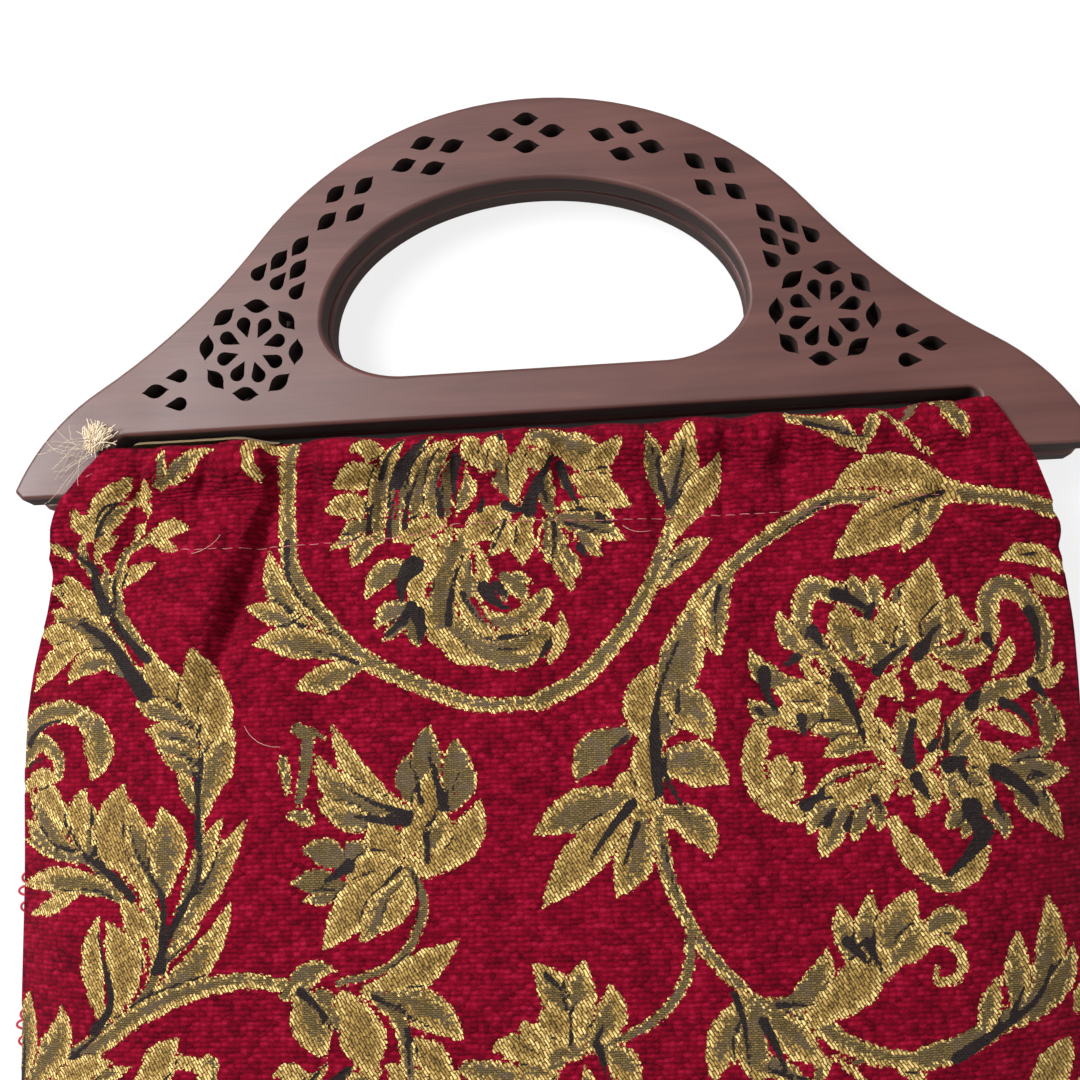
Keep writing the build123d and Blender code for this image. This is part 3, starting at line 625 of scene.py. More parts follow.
big_peony = {
    "stems": [
        (rimmed, 2.7, 76.5, 45, 73, 43, 70, 47.5, 69.5, 55, 73.5, 59.5, 78, 66, 81.5, 72),
        (rimmed, 2.9, 119, 57.5, 119, 50, 122.5, 45, 128, 47, 132.5, 53.5, 134, 61, 131.5, 67.5, 126, 71.5),
        (gilt, 3.2, 65.5, 79, 58.5, 80, 55, 85.5, 54, 92, 57.5, 99, 63.5, 102.5, 67.5, 101.5),
    ],
    "blades": [
        (rimmed, 2.8, 72, 61, 64, 58, 63.5, 49),
        (olive, 3.2, 67, 69, 56.5, 68, 55, 59),
        (olive, 2.7, 61.5, 76, 56, 77, 54, 72.5),
        (gilt, 4.1, 81.5, 79.5, 73, 67, 67.5, 62),
        (gilt, 4.7, 80.5, 80, 68.5, 71.5, 60, 70.5),
        (rimmed, 3.4, 79, 81, 70, 77.5, 60.5, 75),
        (olive, 4.2, 81.5, 82, 75.5, 75, 74, 71),
        (rimmed, 2.8, 81.5, 82.5, 72, 81, 67.5, 84.5),
        (gilt, 5.1, 57.5, 97, 64.5, 94.5, 68, 89.5),
        (gilt, 3.1, 60.5, 94.5, 61, 90, 62.5, 87),
        (rimmed, 2.5, 84, 86, 77.5, 84.5, 72, 88.5),
        (rimmed, 2.7, 86, 92, 75.5, 92.5, 68, 99),
        (gilt, 3.7, 91, 93, 80, 97, 66, 101.5),
        (gilt, 2.5, 89.5, 96, 84.5, 99, 85.5, 101.5),
        (olive, 3.2, 77.5, 100.5, 69.5, 102, 67, 108),
        (rimmed, 3.1, 77.5, 101, 72, 108.5, 70, 114.5),
        (olive, 2.4, 83, 101, 79.5, 104, 78.5, 110.5),
        (olive, 2.3, 85, 99, 86, 103, 85, 108),
        (olive, 2.9, 86.5, 50, 81.5, 44.5, 77.5, 42.5),
        (rimmed, 2.7, 87.5, 49, 84, 44, 83, 40),
        (rimmed, 2.7, 90, 48, 89, 44, 89.5, 40.5),
        (olive, 2.2, 94.5, 48.5, 96, 46, 97.5, 43),
        (rimmed, 5.3, 89, 64, 78, 57, 79.5, 47),
        (gilt, 4.6, 89, 64, 93, 57, 92.5, 47),
        (gilt, 3.9, 88, 62.5, 86.5, 57.5, 85.5, 51.5),
        (olive, 3.4, 87.5, 59.5, 90.5, 63, 90, 66),
        (rimmed, 2.4, 93.5, 64, 98, 58.5, 96, 51),
        (gilt, 5.9, 101.5, 60, 100.5, 47.5, 104.5, 37),
        (rimmed, 4.2, 102, 60, 107.5, 54.5, 111, 46.5),
        (olive, 3.6, 103, 61, 103.5, 55, 107.5, 51.5),
        (rimmed, 2.8, 109, 61.5, 114, 58, 112, 51.5),
        (rimmed, 3.3, 103.5, 61, 111.5, 67, 121, 59),
        (gilt, 2.2, 119.5, 68, 123.5, 64, 124.5, 58.5),
        (gilt, 2.2, 128.5, 71, 136, 71.5, 139, 65.5),
        (rimmed, 1.7, 131.5, 74, 135.5, 79, 137.5, 87),
        (gilt, 2.9, 96, 73, 89, 72, 94.5, 67),
        (gilt, 4.1, 100, 72, 102, 67, 99, 62.5),
        (gilt, 2.4, 104.5, 68, 110, 69.5, 112, 73.5),
        (gilt, 2.8, 90.5, 85.5, 86, 81.5, 84.5, 76.5),
        (rimmed, 2.7, 92.5, 88, 95, 81, 93.5, 76),
        (gilt, 3.6, 100.5, 86.5, 97, 79.5, 104.5, 74.5),
        (rimmed, 3.7, 103.5, 88, 109.5, 82.5, 110, 75.5),
        (rimmed, 2.7, 106.5, 90, 111.5, 86, 113.5, 81.5),
        (rimmed, 3.6, 111.5, 79, 119.5, 70.5, 131, 71.5),
        (gilt, 2.5, 112.5, 82.5, 119.5, 77, 128, 85.5),
        (olive, 2.7, 130, 77, 135, 83.5, 130.5, 90.5),
        (gilt, 3.7, 113, 87, 118.5, 90.5, 123, 92.5),
        (gilt, 3.1, 111, 88.5, 113, 93, 116, 95),
        (olive, 2.3, 122, 91, 127.5, 90, 132, 89),
        (olive, 3.8, 118, 94.5, 129.5, 95, 138.5, 94.5),
        (rimmed, 3.9, 119.5, 95.5, 129.5, 101, 134.5, 112.5),
        (olive, 2.7, 122, 97, 125, 102.5, 126, 107.5),
        (gilt, 2.2, 98.5, 93.5, 93.5, 95.5, 91, 99.5),
        (gilt, 2.5, 99, 94, 97.5, 99.5, 96, 105.5),
        (gilt, 1.7, 100.5, 94, 101.5, 97.5, 101, 101.5),
        (rimmed, 3.3, 103.5, 92, 108, 97, 105, 104),
        (rimmed, 4.2, 106, 93, 112, 97.5, 116.5, 103),
        (gilt, 3.2, 108.5, 97.5, 111, 101.5, 116.5, 100.5),
        (olive, 2.7, 108.5, 103, 105, 105.5, 102.5, 107.5),
        (olive, 1.8, 110, 105, 107.5, 108.5, 106.5, 110.5),
        (olive, 2.5, 114, 104, 119.5, 106, 118, 111.5),
        (gilt, 3.7, 89.5, 105.5, 92, 113.5, 101.5, 121.5),
        (gilt, 3.4, 100.5, 122, 108.5, 119, 114, 112.5),
        (olive, 2.0, 95.5, 119, 100, 123, 107, 122),
    ],
    "curls": [
        (gilt, 1.9, 94.5, 67.5, 88, 71, 84.5, 78, 86, 85, 91, 91, 96, 93.5, 100.5, 89.5),
    ],
    "cuts": [
        (1.1, 109.5, 59.5, 112, 57),
        (1.9, 115, 82, 120, 85, 126.5, 88),
        (1.3, 97, 89.5, 97, 87, 97.5, 85),
        (0.8, 103.5, 90, 105, 85),
        (0.8, 75.5, 95, 79.5, 93.5, 84, 91.5),
        (0.9, 79, 62.5, 82.5, 67, 85, 62),
        (1.0, 71.5, 63, 74.5, 67.5),
        (1.4, 97, 72.5, 102, 73.5, 110, 73.5),
        (1.3, 94.5, 67.5, 96, 70, 95.5, 76),
        (1.0, 89.5, 75, 92, 73.5),
        (0.8, 113, 69.5, 123.5, 69.5),
        (2.2, 60, 82, 66, 83.5, 73, 84),
        (1.4, 65.5, 87.5, 70, 90, 67, 97),
    ],
    "veins": [
        (1.7, 72, 55, 74.5, 60),
        (1.7, 77, 68, 81.5, 75, 83.5, 84.5),
        (1.9, 58.5, 65.5, 58, 71.5, 61.5, 76),
        (1.3, 67.5, 62, 64, 64),
        (1.4, 67.5, 78, 68, 83),
        (1.1, 56.5, 75.5, 58.5, 77),
        (1.9, 78.5, 45.5, 84, 47.5, 87.5, 50),
        (1.4, 87, 51.5, 89, 48),
        (1.5, 88, 66.5, 92, 62.5, 96.5, 60),
        (1.4, 101, 61, 102.5, 56.5, 105.5, 55),
        (2.0, 99, 62.5, 100.5, 59),
        (1.5, 118, 58.5, 120, 62.5),
        (1.7, 130, 52, 133, 56.5, 131.5, 65),
        (1.7, 129.5, 71, 133, 75),
        (2.0, 112.5, 76, 115, 72.5),
        (1.5, 121, 76, 126.5, 78, 128.5, 83),
        (1.9, 94.5, 90.5, 94.5, 84.5, 97, 79.5),
        (1.0, 104, 87, 106.5, 82.5, 104, 78.5),
        (1.3, 100.5, 87, 103, 84),
        (1.8, 67, 100.5, 72, 97.5),
        (1.1, 77, 106.5, 79, 102.5),
        (1.1, 85, 99.5, 87, 103.5),
        (1.1, 72, 105.5, 74.5, 101.5),
        (2.3, 117.5, 94, 124, 96.5, 127.5, 103),
        (0.8, 127.5, 94.5, 133, 96.5),
        (0.8, 129.5, 99.5, 132, 103.5),
        (1.8, 96, 94.5, 97, 98, 99, 99.5),
        (2.3, 105, 91.5, 109.5, 90),
        (1.1, 108, 92, 110.5, 97.5),
        (2.9, 110, 103, 111.5, 108, 111.5, 111.5),
        (1.1, 116.5, 102, 118.5, 106),
        (2.4, 113, 108.5, 110.5, 113.5, 102.5, 119),
    ],
}
bud = {
    "blades": [
        (dusky, 3.7, -33.5, 97.5, -39.5, 91, -38, 83.5),
        (dusky, 4.1, -31, 93, -34.5, 83, -32, 76),
        (dusky, 4.1, -27.5, 96, -23.5, 89, -25.5, 79.5),
        (dusky, 2.7, -26.5, 98, -20, 92, -22, 85.5),
        (gilt, 4.9, -33.5, 113, -33, 97, -31, 86.5),
        (gilt, 4.9, -33.5, 114, -21, 108, -18.5, 96),
        (rimmed, 3.3, -33, 109.5, -28.5, 102.5, -27.5, 99.5),
        (gilt, 3.5, -36.5, 99.5, -52.5, 94.5, -59.5, 74),
        (rimmed, 4.9, -37.5, 100, -59.5, 97, -63.5, 82.5),
        (rimmed, 3.5, -45, 102.5, -57.5, 100.5, -63.5, 94.5),
        (gilt, 6.1, -38.5, 112.5, -48, 108, -44.5, 99),
        (gilt, 2.9, -38, 110, -37, 104.5, -37.5, 101),
        (rimmed, 2.4, -70, 99, -67, 98.5, -64, 102),
        (dusky, 3.7, -54, 113, -62, 106.5, -68, 108.5),
        (dusky, 2.9, -49.5, 111.5, -53.5, 108, -55.5, 106),
        (dusky, 3.5, -55.5, 118.5, -63, 115.5, -70.5, 116.5),
        (olive, 1.8, -56.5, 120, -63, 121, -67, 121),
        (gilt, 4.5, -39.5, 113.5, -51, 112.5, -55.5, 116),
        (gilt, 5.7, -39.5, 115, -54, 121, -61.5, 134.5),
        (olive, 4.1, -38, 116, -45.5, 123, -52, 133),
        (gilt, 3.1, -37.5, 116.5, -40, 123.5, -45.5, 130),
    ],
    "curls": [
        (dusky, 1.7, -68.5, 76, -66, 78.5, -66.5, 86.5, -68, 95),
        (rimmed, 1.4, -72.5, 84, -71, 93),
        (dusky, 0.9, -65, 76.5, -61.5, 78.5),
        (olive, 1.3, -38, 113.5, -34.5, 121, -35.5, 128, -40, 135.5, -47.5, 140, -58, 142.5),
    ],
    "veins": [
        (0.9, -34.5, 96.5, -36, 89.5),
        (1.3, -28.5, 98, -31, 89.5, -32.5, 83),
        (0.8, -33, 112, -34, 102, -28.5, 96),
        (1.0, -37.5, 99.5, -52, 95.5, -56.5, 90.5),
        (1.6, -38.5, 101, -50, 101, -53.5, 99),
        (1.8, -54.5, 112.5, -61, 116.5),
        (0.8, -40.5, 113.5, -45.5, 118),
        (0.6, -37, 114.5, -34.5, 121, -37, 128.5),
    ],
}
low_vine = {
    "stems": [
        (rimmed, 2.6, -132.5, 163.5, -121, 155.5, -110.5, 149, -97.5, 144, -84, 141.5, -71.5, 143),
    ],
    "blades": [
        (olive, 3.1, -72, 145.5, -65, 137, -58, 139.5),
        (rimmed, 5.3, -68, 144.5, -65.5, 154.5, -61, 161.5),
        (olive, 3.9, -62.5, 145.5, -58, 149, -55.5, 156),
        (gilt, 6.3, -56, 147.5, -50, 154.5, -50, 166.5),
        (gilt, 4.5, -49.5, 145, -37.5, 142.5, -25, 132),
        (rimmed, 5.1, -45, 147, -32, 148, -25, 158),
        (gilt, 4.1, -40, 158, -32.5, 160, -28.5, 168.5),
        (rimmed, 4.7, -153, 172.5, -151, 157.5, -150.5, 145.5),
        (rimmed, 4.9, -149, 170.5, -135, 157.5, -138, 148.5),
        (gilt, 2.6, -155, 170.5, -155, 161, -155, 154.5),
        (gilt, 3.5, -142, 171, -131.5, 164.5, -121, 162.5),
        (gilt, 4.1, -112.5, 168.5, -106.5, 160.5, -101.5, 156),
        (gilt, 1.8, -96, 168, -94, 165.5, -93.5, 163),
    ],
    "curls": [
        (olive, 2.0, -47.5, 146, -42.5, 151, -40, 158, -39, 167.5),
    ],
    "veins": [
        (1.2, -68, 144.5, -62.5, 149, -58, 155.5),
        (0.8, -48.5, 146, -41.5, 149.5, -34, 154),
        (0.9, -39.5, 154.5, -39.5, 167),
        (0.9, -153, 170.5, -152, 162, -153, 157.5),
        (0.8, -134, 162, -124.5, 155),
    ],
}
motifs = [left_branch, left_curl, left_vine, top_peony, right_vine, spray]
motifs += [bottom_flower, curled_leaf, corner_leaf, big_peony, bud, low_vine]


def line_reach(place, line):
    """Distance of each place from a line of points, the share along it, and the side it is on."""
    start, step = line[:-1], np.diff(line, axis=0)
    away = place[:, None, :] - start
    along = np.clip((away * step).sum(2) / (step**2).sum(1), 0, 1)
    gap = away - along[..., None] * step
    reach = np.hypot(gap[..., 0], gap[..., 1])
    nearest = reach.argmin(1)
    row = np.arange(len(place))
    length = np.hypot(step[:, 0], step[:, 1])
    before = np.concatenate([[0], length.cumsum()[:-1]])
    share = (before[nearest] + along[row, nearest] * length[nearest]) / length.sum()
    away = away[row, nearest]
    side = np.sign(step[nearest, 0] * away[:, 1] - step[nearest, 1] * away[:, 0])
    return reach[row, nearest], share, side


def smooth_line(points, steps):
    """A line of points through the given ones, rounded between them."""
    points = np.array(points, float).reshape(-1, 2)
    if len(points) == 3:
        share = np.linspace(0, 1, steps)[:, None]
        return points[0] * (1 - share) ** 2 + points[1] * 2 * share * (1 - share) + points[2] * share**2
    padded_points = np.vstack([2 * points[0] - points[1], points, 2 * points[-1] - points[-2]])
    line = [points[0]]
    for before, start, end, after in zip(padded_points, points, points[1:], padded_points[3:]):
        for share in np.linspace(0, 1, steps // 3 + 1)[1:]:
            pull = 2 * start + (end - before) * share
            pull = pull + (2 * before - 5 * start + 4 * end - after) * share**2
            line.append((pull + (3 * start - before - 3 * end + after) * share**3) / 2)
    return np.array(line)


class Weave:
    """What is woven at each place of a cloth: edge is mm inside a motif, gold and dark tell its threads."""

    line_steps = 18
    margin = 4.0
    far_outside = -12.0
    no_vein = -4.0
    tip_start = 0.5
    tip_roundness = 1.7

    def __init__(self, place):
        self.place = place
        self.edge = np.full(len(place), self.far_outside)
        self.gold = np.zeros(len(place))
        self.dark = np.full(len(place), self.no_vein)

    def close_to(self, points, half):
        """The places close to a line, their distance from it, their share along it and their side."""
        line = smooth_line(points, self.line_steps)
        low, high = line.min(0) - half - self.margin, line.max(0) + half + self.margin
        close = np.flatnonzero(((self.place > low) & (self.place < high)).all(1))
        return close, *line_reach(self.place[close], line)

    def shape(self, points, half, gold_share, tapered):
        """One blade that swells and runs to a point, or one stem of even width."""
        close, reach, share, side = self.close_to(points, half)
        if tapered:
            tip = np.clip((share - self.tip_start) / (1 - self.tip_start), 0, 1)
            width = half * (0.5 + 0.5 * step_between(share, 0.0, 0.5)) * (1 - tip**self.tip_roundness)
        else:
            width = half * (1 - 0.35 * share**3)
        edge = width - reach
        inside = edge > 0
        old = self.edge[close]
        rim = (~inside) & (old > 0.2) & (share > 0.2) & (share < 0.8)
        shade = np.where(rim, 0.5 - np.abs(edge + 0.4), self.no_vein)
        self.dark[close] = np.where(inside, self.no_vein, np.maximum(self.dark[close], shade))
        self.edge[close] = np.where(inside, edge, np.maximum(old, edge))
        near_tip = 0.6 * (share - 0.45) if tapered else 0.0
        gold = gold_share + 0.16 * side - edge / half + near_tip
        self.gold[close] = np.where(inside, gold, self.gold[close])

    def vein(self, points, half):
        """One charcoal line that thins out towards its end."""
        close, reach, share, _ = self.close_to(points, half)
        self.dark[close] = np.maximum(self.dark[close], half * (1 - 0.7 * share) - reach)

    def cut(self, points, half):
        """One slit where the pile shows through a motif."""
        close, reach, share, _ = self.close_to(points, half)
        outside = reach - half * (1 - 0.5 * share)
        self.edge[close] = np.minimum(self.edge[close], outside)
        self.dark[close] = np.minimum(self.dark[close], outside)

    def motif(self, parts, shift, lowest):
        """All of one motif, moved by shift. Shapes that reach above the lowest depth are left out."""

        def moved(numbers):
            points = np.array(numbers, float).reshape(-1, 2) + shift
            return points if points[:, 1].min() > lowest else None

        for kind, tapered in (("stems", False), ("blades", True), ("curls", False)):
            for gold_share, half, *numbers in parts.get(kind, []):
                points = moved(numbers)
                if points is not None:
                    self.shape(points, half, gold_share, tapered)
        for kind, draw in (("cuts", self.cut), ("veins", self.vein)):
            for half, *numbers in parts.get(kind, []):
                points = moved(numbers)
                if points is not None:
                    draw(points, half)


def level(values, passes):
    """Evens out a grid of heights."""
    for _ in range(passes):
        values[:, 1:-1] = (values[:, :-2] + 2 * values[:, 1:-1] + values[:, 2:]) / 4
        values[1:-1] = (values[:-2] + 2 * values[1:-1] + values[2:]) / 4
    return values


def step_between(values, start, end):
    share = np.clip((values - start) / (end - start), 0, 1)
    return share * share * (3 - 2 * share)


mm = 0.001
rod_y = frame["joints"][0]["pos_m"][1]
front_rod_z = frame["joints"][0]["pos_m"][2]
seam_gap = 0.5
seam_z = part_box("front_panel")[0][2] / mm - seam_gap / 2
stitch_depth = 23.0
slit_depth = 80.0
slack_bulge = 5.0
sheet_columns = 287
hem_depths = np.linspace(20, 1, 12)
hem_turns = np.radians(np.linspace(-90, 112, 26))
hem_radius = 4.6
hem_turn_length = 13.0
body_top, body_bottom, row_pitch = 2.6, 263.6, 0.9
body_depths = np.arange(body_top, body_bottom, row_pitch)
hem_rows = len(hem_depths)
casing_rows = hem_rows + len(hem_turns)
bottom_rows = 2
edge_inset = 0.3
ray_start = 0.2


def panel_spans(node, depths):
    """Left and right edge of a panel at each depth below the rod, in mm."""
    mesh = node.data
    points = np.empty(len(mesh.vertices) * 3)
    mesh.vertices.foreach_get("co", points)
    points = points.reshape(-1, 3) / mm
    ends = np.empty(len(mesh.edges) * 2, int)
    mesh.edges.foreach_get("vertices", ends)
    start, end = points[ends.reshape(-1, 2).T]
    spans = []
    for depth in depths:
        y = rod_y / mm - depth
        cut = (start[:, 1] - y) * (end[:, 1] - y) < 0
        share = (y - start[cut, 1]) / (end[cut, 1] - start[cut, 1])
        x = start[cut, 0] + share * (end[cut, 0] - start[cut, 0])
        spans.append((x.min(), x.max()))
    return np.array(spans)


def cloth_grid(node, rod_z, out):
    """Rows of points on the outside of a panel, from inside the hem, round the rod, to the bottom.
    Returns the points and their places on the flat cloth, both in mm."""
    tree = BVHTree.FromObject(node, bpy.context.evaluated_depsgraph_get())
    across = np.linspace(-1, 1, sheet_columns)
    casing_level, ray_reach = 0.5, 12.0
    left, right = panel_spans(node, [casing_level])[0]
    casing_x = (left + right) / 2 + across * ((right - left) / 2 - edge_inset)
    rows, places = [], []
    for depth in hem_depths:
        row = []
        for x in casing_x:
            start = Vector((x * mm, rod_y - depth * mm, rod_z - out * ray_reach * mm))
            hit = tree.ray_cast(start, Vector((0, 0, out)))[0]
            row.append((x, rod_y / mm - depth, hit.z / mm))
        rows.append(row)
        places.append([(x, -hem_turn_length - depth) for x in casing_x])
    for turn in hem_turns:
        row = []
        way = Vector((0, math.cos(turn), out * math.sin(turn)))
        for x in casing_x:
            axis = Vector((x * mm, rod_y, rod_z))
            hit = tree.ray_cast(axis + way * ray_reach * mm, -way)[0]
            row.append((x, hit.y / mm, hit.z / mm))
        rows.append(row)
        places.append([(x, hem_radius * (turn - math.pi / 2)) for x in casing_x])
    for depth, (left, right) in zip(body_depths, panel_spans(node, body_depths)):
        row = []
        middle, half = (left + right) / 2, (right - left) / 2
        bulge = slack_bulge * step_between(depth, 12.0, 60.0)
        for share in across:
            inner_x = middle + share * (half - edge_inset)
            start = Vector((inner_x * mm, rod_y - depth * mm, out * ray_start))
            hit = tree.ray_cast(start, Vector((0, 0, -out)))[0]
            row.append((middle + share * (half + bulge), rod_y / mm - depth, hit.z / mm))
        rows.append(row)
        places.append([(x, depth) for x, _, _ in row])
    rows, places = np.array(rows), np.array(places)
    rows[casing_rows:, :, 2] = level(rows[casing_rows:, :, 2], 6)
    return turned_edges(rows, places, out)


def turned_edges(rows, places, out):
    """Adds the turned edge: a sheet's sides and bottom go down to the seam with the other sheet,
    and along the open slits they turn under."""
    slit_end_run, turn_in, turn_under, side_bow, bottom_bow = 12.0, 0.9, 1.5, 0.35, 0.6
    depth = rod_y / mm - rows[:, 0, 1]
    sewn = step_between(depth, slit_depth - slit_end_run, slit_depth)[:, None]
    parts = [rows]
    for end in (0, -1):
        way = -1 if end == 0 else 1
        edge = rows[:, end]
        under = edge + np.array([-way * turn_in, 0, -out * turn_under])
        seam = edge.copy()
        seam[:, 2] = seam_z
        last = under * (1 - sewn) + seam * sewn
        middle = (edge + last) / 2 + np.array([way * side_bow, 0, 0])
        turned_rows = [last[:, None], middle[:, None]]
        parts = [*turned_rows, *parts] if end == 0 else [*parts, *turned_rows[::-1]]
    rows = np.concatenate(parts, axis=1)
    places = np.concatenate([places[:, :1]] * 2 + [places] + [places[:, -1:]] * 2, axis=1)
    bottom = rows[-1:].copy()
    bottom[..., 2] = seam_z
    turned = (rows[-1:] + bottom) / 2 - np.array([0, bottom_bow, 0])
    return np.concatenate([rows, turned, bottom]), np.concatenate([places] + [places[-1:]] * bottom_rows)


front_points, front_places = cloth_grid(frame["nodes"]["front_panel"], front_rod_z, 1)

# Folds of the front: each crease is a valley with a swell beside it, given as the valley's depth
# and width, the swell's height, width and side (1 to the left of the line, -1 to the right), and
# the line's places. Between them the casing is puckered, and the cloth below it hangs slack.
creases = [
    (3.4, 3.0, 5.4, 11.0, 1,
     [-74.6, -1.5, -75, 9.7, -79.2, 20.4, -84.3, 35.7, -89.2, 47.1, -92.2, 60.3, -90, 74]),
    (1.8, 2.4, 2.0, 6.0, 1, [-90.8, -2.4, -99.7, 8.7, -98.1, 18.2]),
    (1.4, 2.2, 1.6, 5.0, -1, [-109.7, -2.6, -116.8, 9.2, -115.2, 17.9]),
    (2.8, 2.4, 3.6, 9.0, -1, [98.2, -3.7, 105.4, 5.5, 109.4, 10.3, 110, 17.5]),
    (2.2, 2.2, 3.4, 8.0, -1, [108.5, 19.1, 116.1, 23.8, 123.2, 28.7, 129.4, 32.7, 139.5, 34.7]),
    (2.2, 3.2, 2.0, 7.0, 1, [68.2, -0.8, 66.6, 9.6, 67.8, 21.3, 64.7, 35.4]),
    (1.3, 2.4, 1.4, 6.0, 1, [-44.1, -3.1, -43.6, 18.8, -45.4, 32.8]),
    (1.2, 2.2, 1.3, 6.0, -1, [-22.5, -1.9, -25.3, 21.2]),
    (1.2, 2.4, 1.3, 6.0, 1, [6.7, -0.2, 4.4, 19.9]),
    (1.5, 2.4, 1.5, 6.0, -1, [34.2, -1.9, 31.7, 19.9, 33.5, 33.9]),
    (1.5, 2.2, 1.4, 5.0, -1, [80.1, -2.8, 78.4, 14.7]),
    (1.3, 2.2, 1.3, 5.0, 1, [51.8, -1.7, 49.6, 18.1]),
    (1.4, 2.2, 1.5, 6.0, -1, [-63.5, -1.4, -62.8, 17.8, -64.7, 29]),
]


def creased(places):
    """How far the creases raise or sink the cloth at each place. Over the rod they stay shallow."""
    height = np.zeros(len(places))
    for valley, valley_width, swell, swell_width, swell_side, numbers in creases:
        reach, share, side = line_reach(places, smooth_line(numbers, 24))
        fade = 1 - 0.75 * step_between(share, 0.55, 1.0)
        height -= valley * fade * np.exp(-((reach / valley_width) ** 2))
        out = reach / swell_width
        hump = out * np.exp(1 - out) * np.exp(-((out / 3) ** 2))
        height += swell * fade * hump * (side == swell_side)
    depth = places[:, 1]
    height *= step_between(depth, -9.0, 3.0)
    lowest = -1.2 - 2.4 * step_between(depth, 5.0, 13.0)
    highest = 2.4 + 2.6 * step_between(depth, 14.0, 32.0)
    return np.clip(height, lowest, highest)


def sunk_with_creases(points):
    """The same points, moved inwards where the front sheet's creases are."""
    places = points.reshape(-1, 3)[:, :2] * np.array([1.0, -1.0]) + np.array([0.0, rod_y / mm])
    moved = points.copy()
    moved[..., 2] += np.minimum(creased(places), 0).reshape(points.shape[:2])
    return moved


front_points[:hem_rows] = sunk_with_creases(front_points[:hem_rows])
flat_places = front_places.reshape(-1, 2)
down = flat_places[:, 1]
rise = creased(flat_places)
gathered = np.exp(-(((down - stitch_depth) / 16) ** 2)) + 0.6 * np.exp(-((down / 9) ** 2))
settled = np.clip((down + 9) / 12, 0, 1)
hanging = np.clip(down / 40, 0, 1)
fold_height = 1.1
for index, (x, depth) in enumerate(flat_places):
    pucker = noise.noise(Vector((x / 5.0, depth / 24, 3.1))) * fold_height
    slack = noise.noise(Vector((x / 30, depth / 44, 7.7))) * fold_height
    rise[index] += pucker * gathered[index] * settled[index] + slack * hanging[index]
stitch_pull, stitch_pull_width = 0.6, 1.8
rise -= stitch_pull * np.exp(-(((down - stitch_depth) / stitch_pull_width) ** 2))

front_weave = Weave(flat_places)
in_place, next_repeat, side_repeat = (0.0, 0.0), (-24.0, 166.0), (266.0, 166.0)
above_hem, below_first_repeat = -40.0, 158.0
for motif in (left_branch, left_curl):
    front_weave.motif(motif, side_repeat, below_first_repeat)
for motif in motifs:
    front_weave.motif(motif, next_repeat, below_first_repeat)
for motif in motifs:
    front_weave.motif(motif, in_place, above_hem)
pile_height = 0.28


def pile_rise(weave):
    """The pile stands a little above the motifs."""
    return pile_height * (1 - step_between(np.maximum(weave.edge, weave.dark), -0.4, 0.6))


rise += pile_rise(front_weave)


def grid_piece(name, points):
    """A smooth sheet from a grid of points in mm."""
    lines, columns = points.shape[:2]
    bpy.ops.mesh.primitive_grid_add(x_subdivisions=columns - 1, y_subdivisions=lines - 1, size=1)
    piece = bpy.context.object
    piece.name = name
    bpy.ops.object.transform_apply(location=True, rotation=True, scale=True)
    piece.data.vertices.foreach_set("co", (points * mm).ravel())
    piece.data.update()
    bpy.ops.object.shade_smooth()
    return piece


def cloth_piece(name, points, places, out, rise, weave):
    """A sheet from a grid of points, raised along its own slope, with the weave as attributes."""
    lines, columns = points.shape[:2]
    across_way = np.gradient(points, axis=1)
    down_way = np.gradient(points, axis=0)
    normal = np.cross(down_way, across_way) * out
    normal /= np.maximum(np.linalg.norm(normal, axis=2, keepdims=True), 1e-9)
    raised = points + normal * rise.reshape(lines, columns, 1)
    piece = grid_piece(name, raised[::-out])
    flat = np.concatenate([places[::-out], np.zeros((lines, columns, 1))], axis=2)
    flat_cloth = piece.data.attributes.new("cloth_place", "FLOAT_VECTOR", "POINT")
    flat_cloth.data.foreach_set("vector", flat.ravel())
    for key, values in (("edge", weave.edge), ("gold", weave.gold), ("dark", weave.dark)):
        grid = values.reshape(lines, columns)[::-out]
        piece.data.attributes.new(key, "FLOAT", "POINT").data.foreach_set("value", grid.ravel())
    return piece


front_cloth = cloth_piece("front_cloth", front_points, front_places, 1, rise, front_weave)
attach(front_cloth, "bag")
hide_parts("front_panel")

# The tapestry itself. Crimson chenille shows as rows of short, plump tufts, with painted highlights on
# the crowns of tufts and rows and painted shade in the gaps between them; gold threads lie in slanting
# floats, olive ones in fine ribs, and the edges of each motif step from thread to thread.
tapestry = new_material("tapestry")


def woven_value(name):
    node = nodes.new("ShaderNodeAttribute")
    node.attribute_name = name
    return node.outputs["Fac"]


def threads(vector, length, pitch, gap, first, second, between_color):
    """Rows of short threads side by side. Returns their colours and how deep the gaps are."""
    node = nodes.new("ShaderNodeTexBrick")
    node.offset = 0.37
    node.inputs["Scale"].default_value = 1.0
    node.inputs["Brick Width"].default_value = length
    node.inputs["Row Height"].default_value = pitch
    node.inputs["Mortar Size"].default_value = gap
    node.inputs["Mortar Smooth"].default_value = 0.9
    node.inputs["Color1"].default_value = first
    node.inputs["Color2"].default_value = second
    node.inputs["Mortar"].default_value = between_color
    links.new(vector, node.inputs["Vector"])
    return node.outputs["Color"], node.outputs["Fac"]


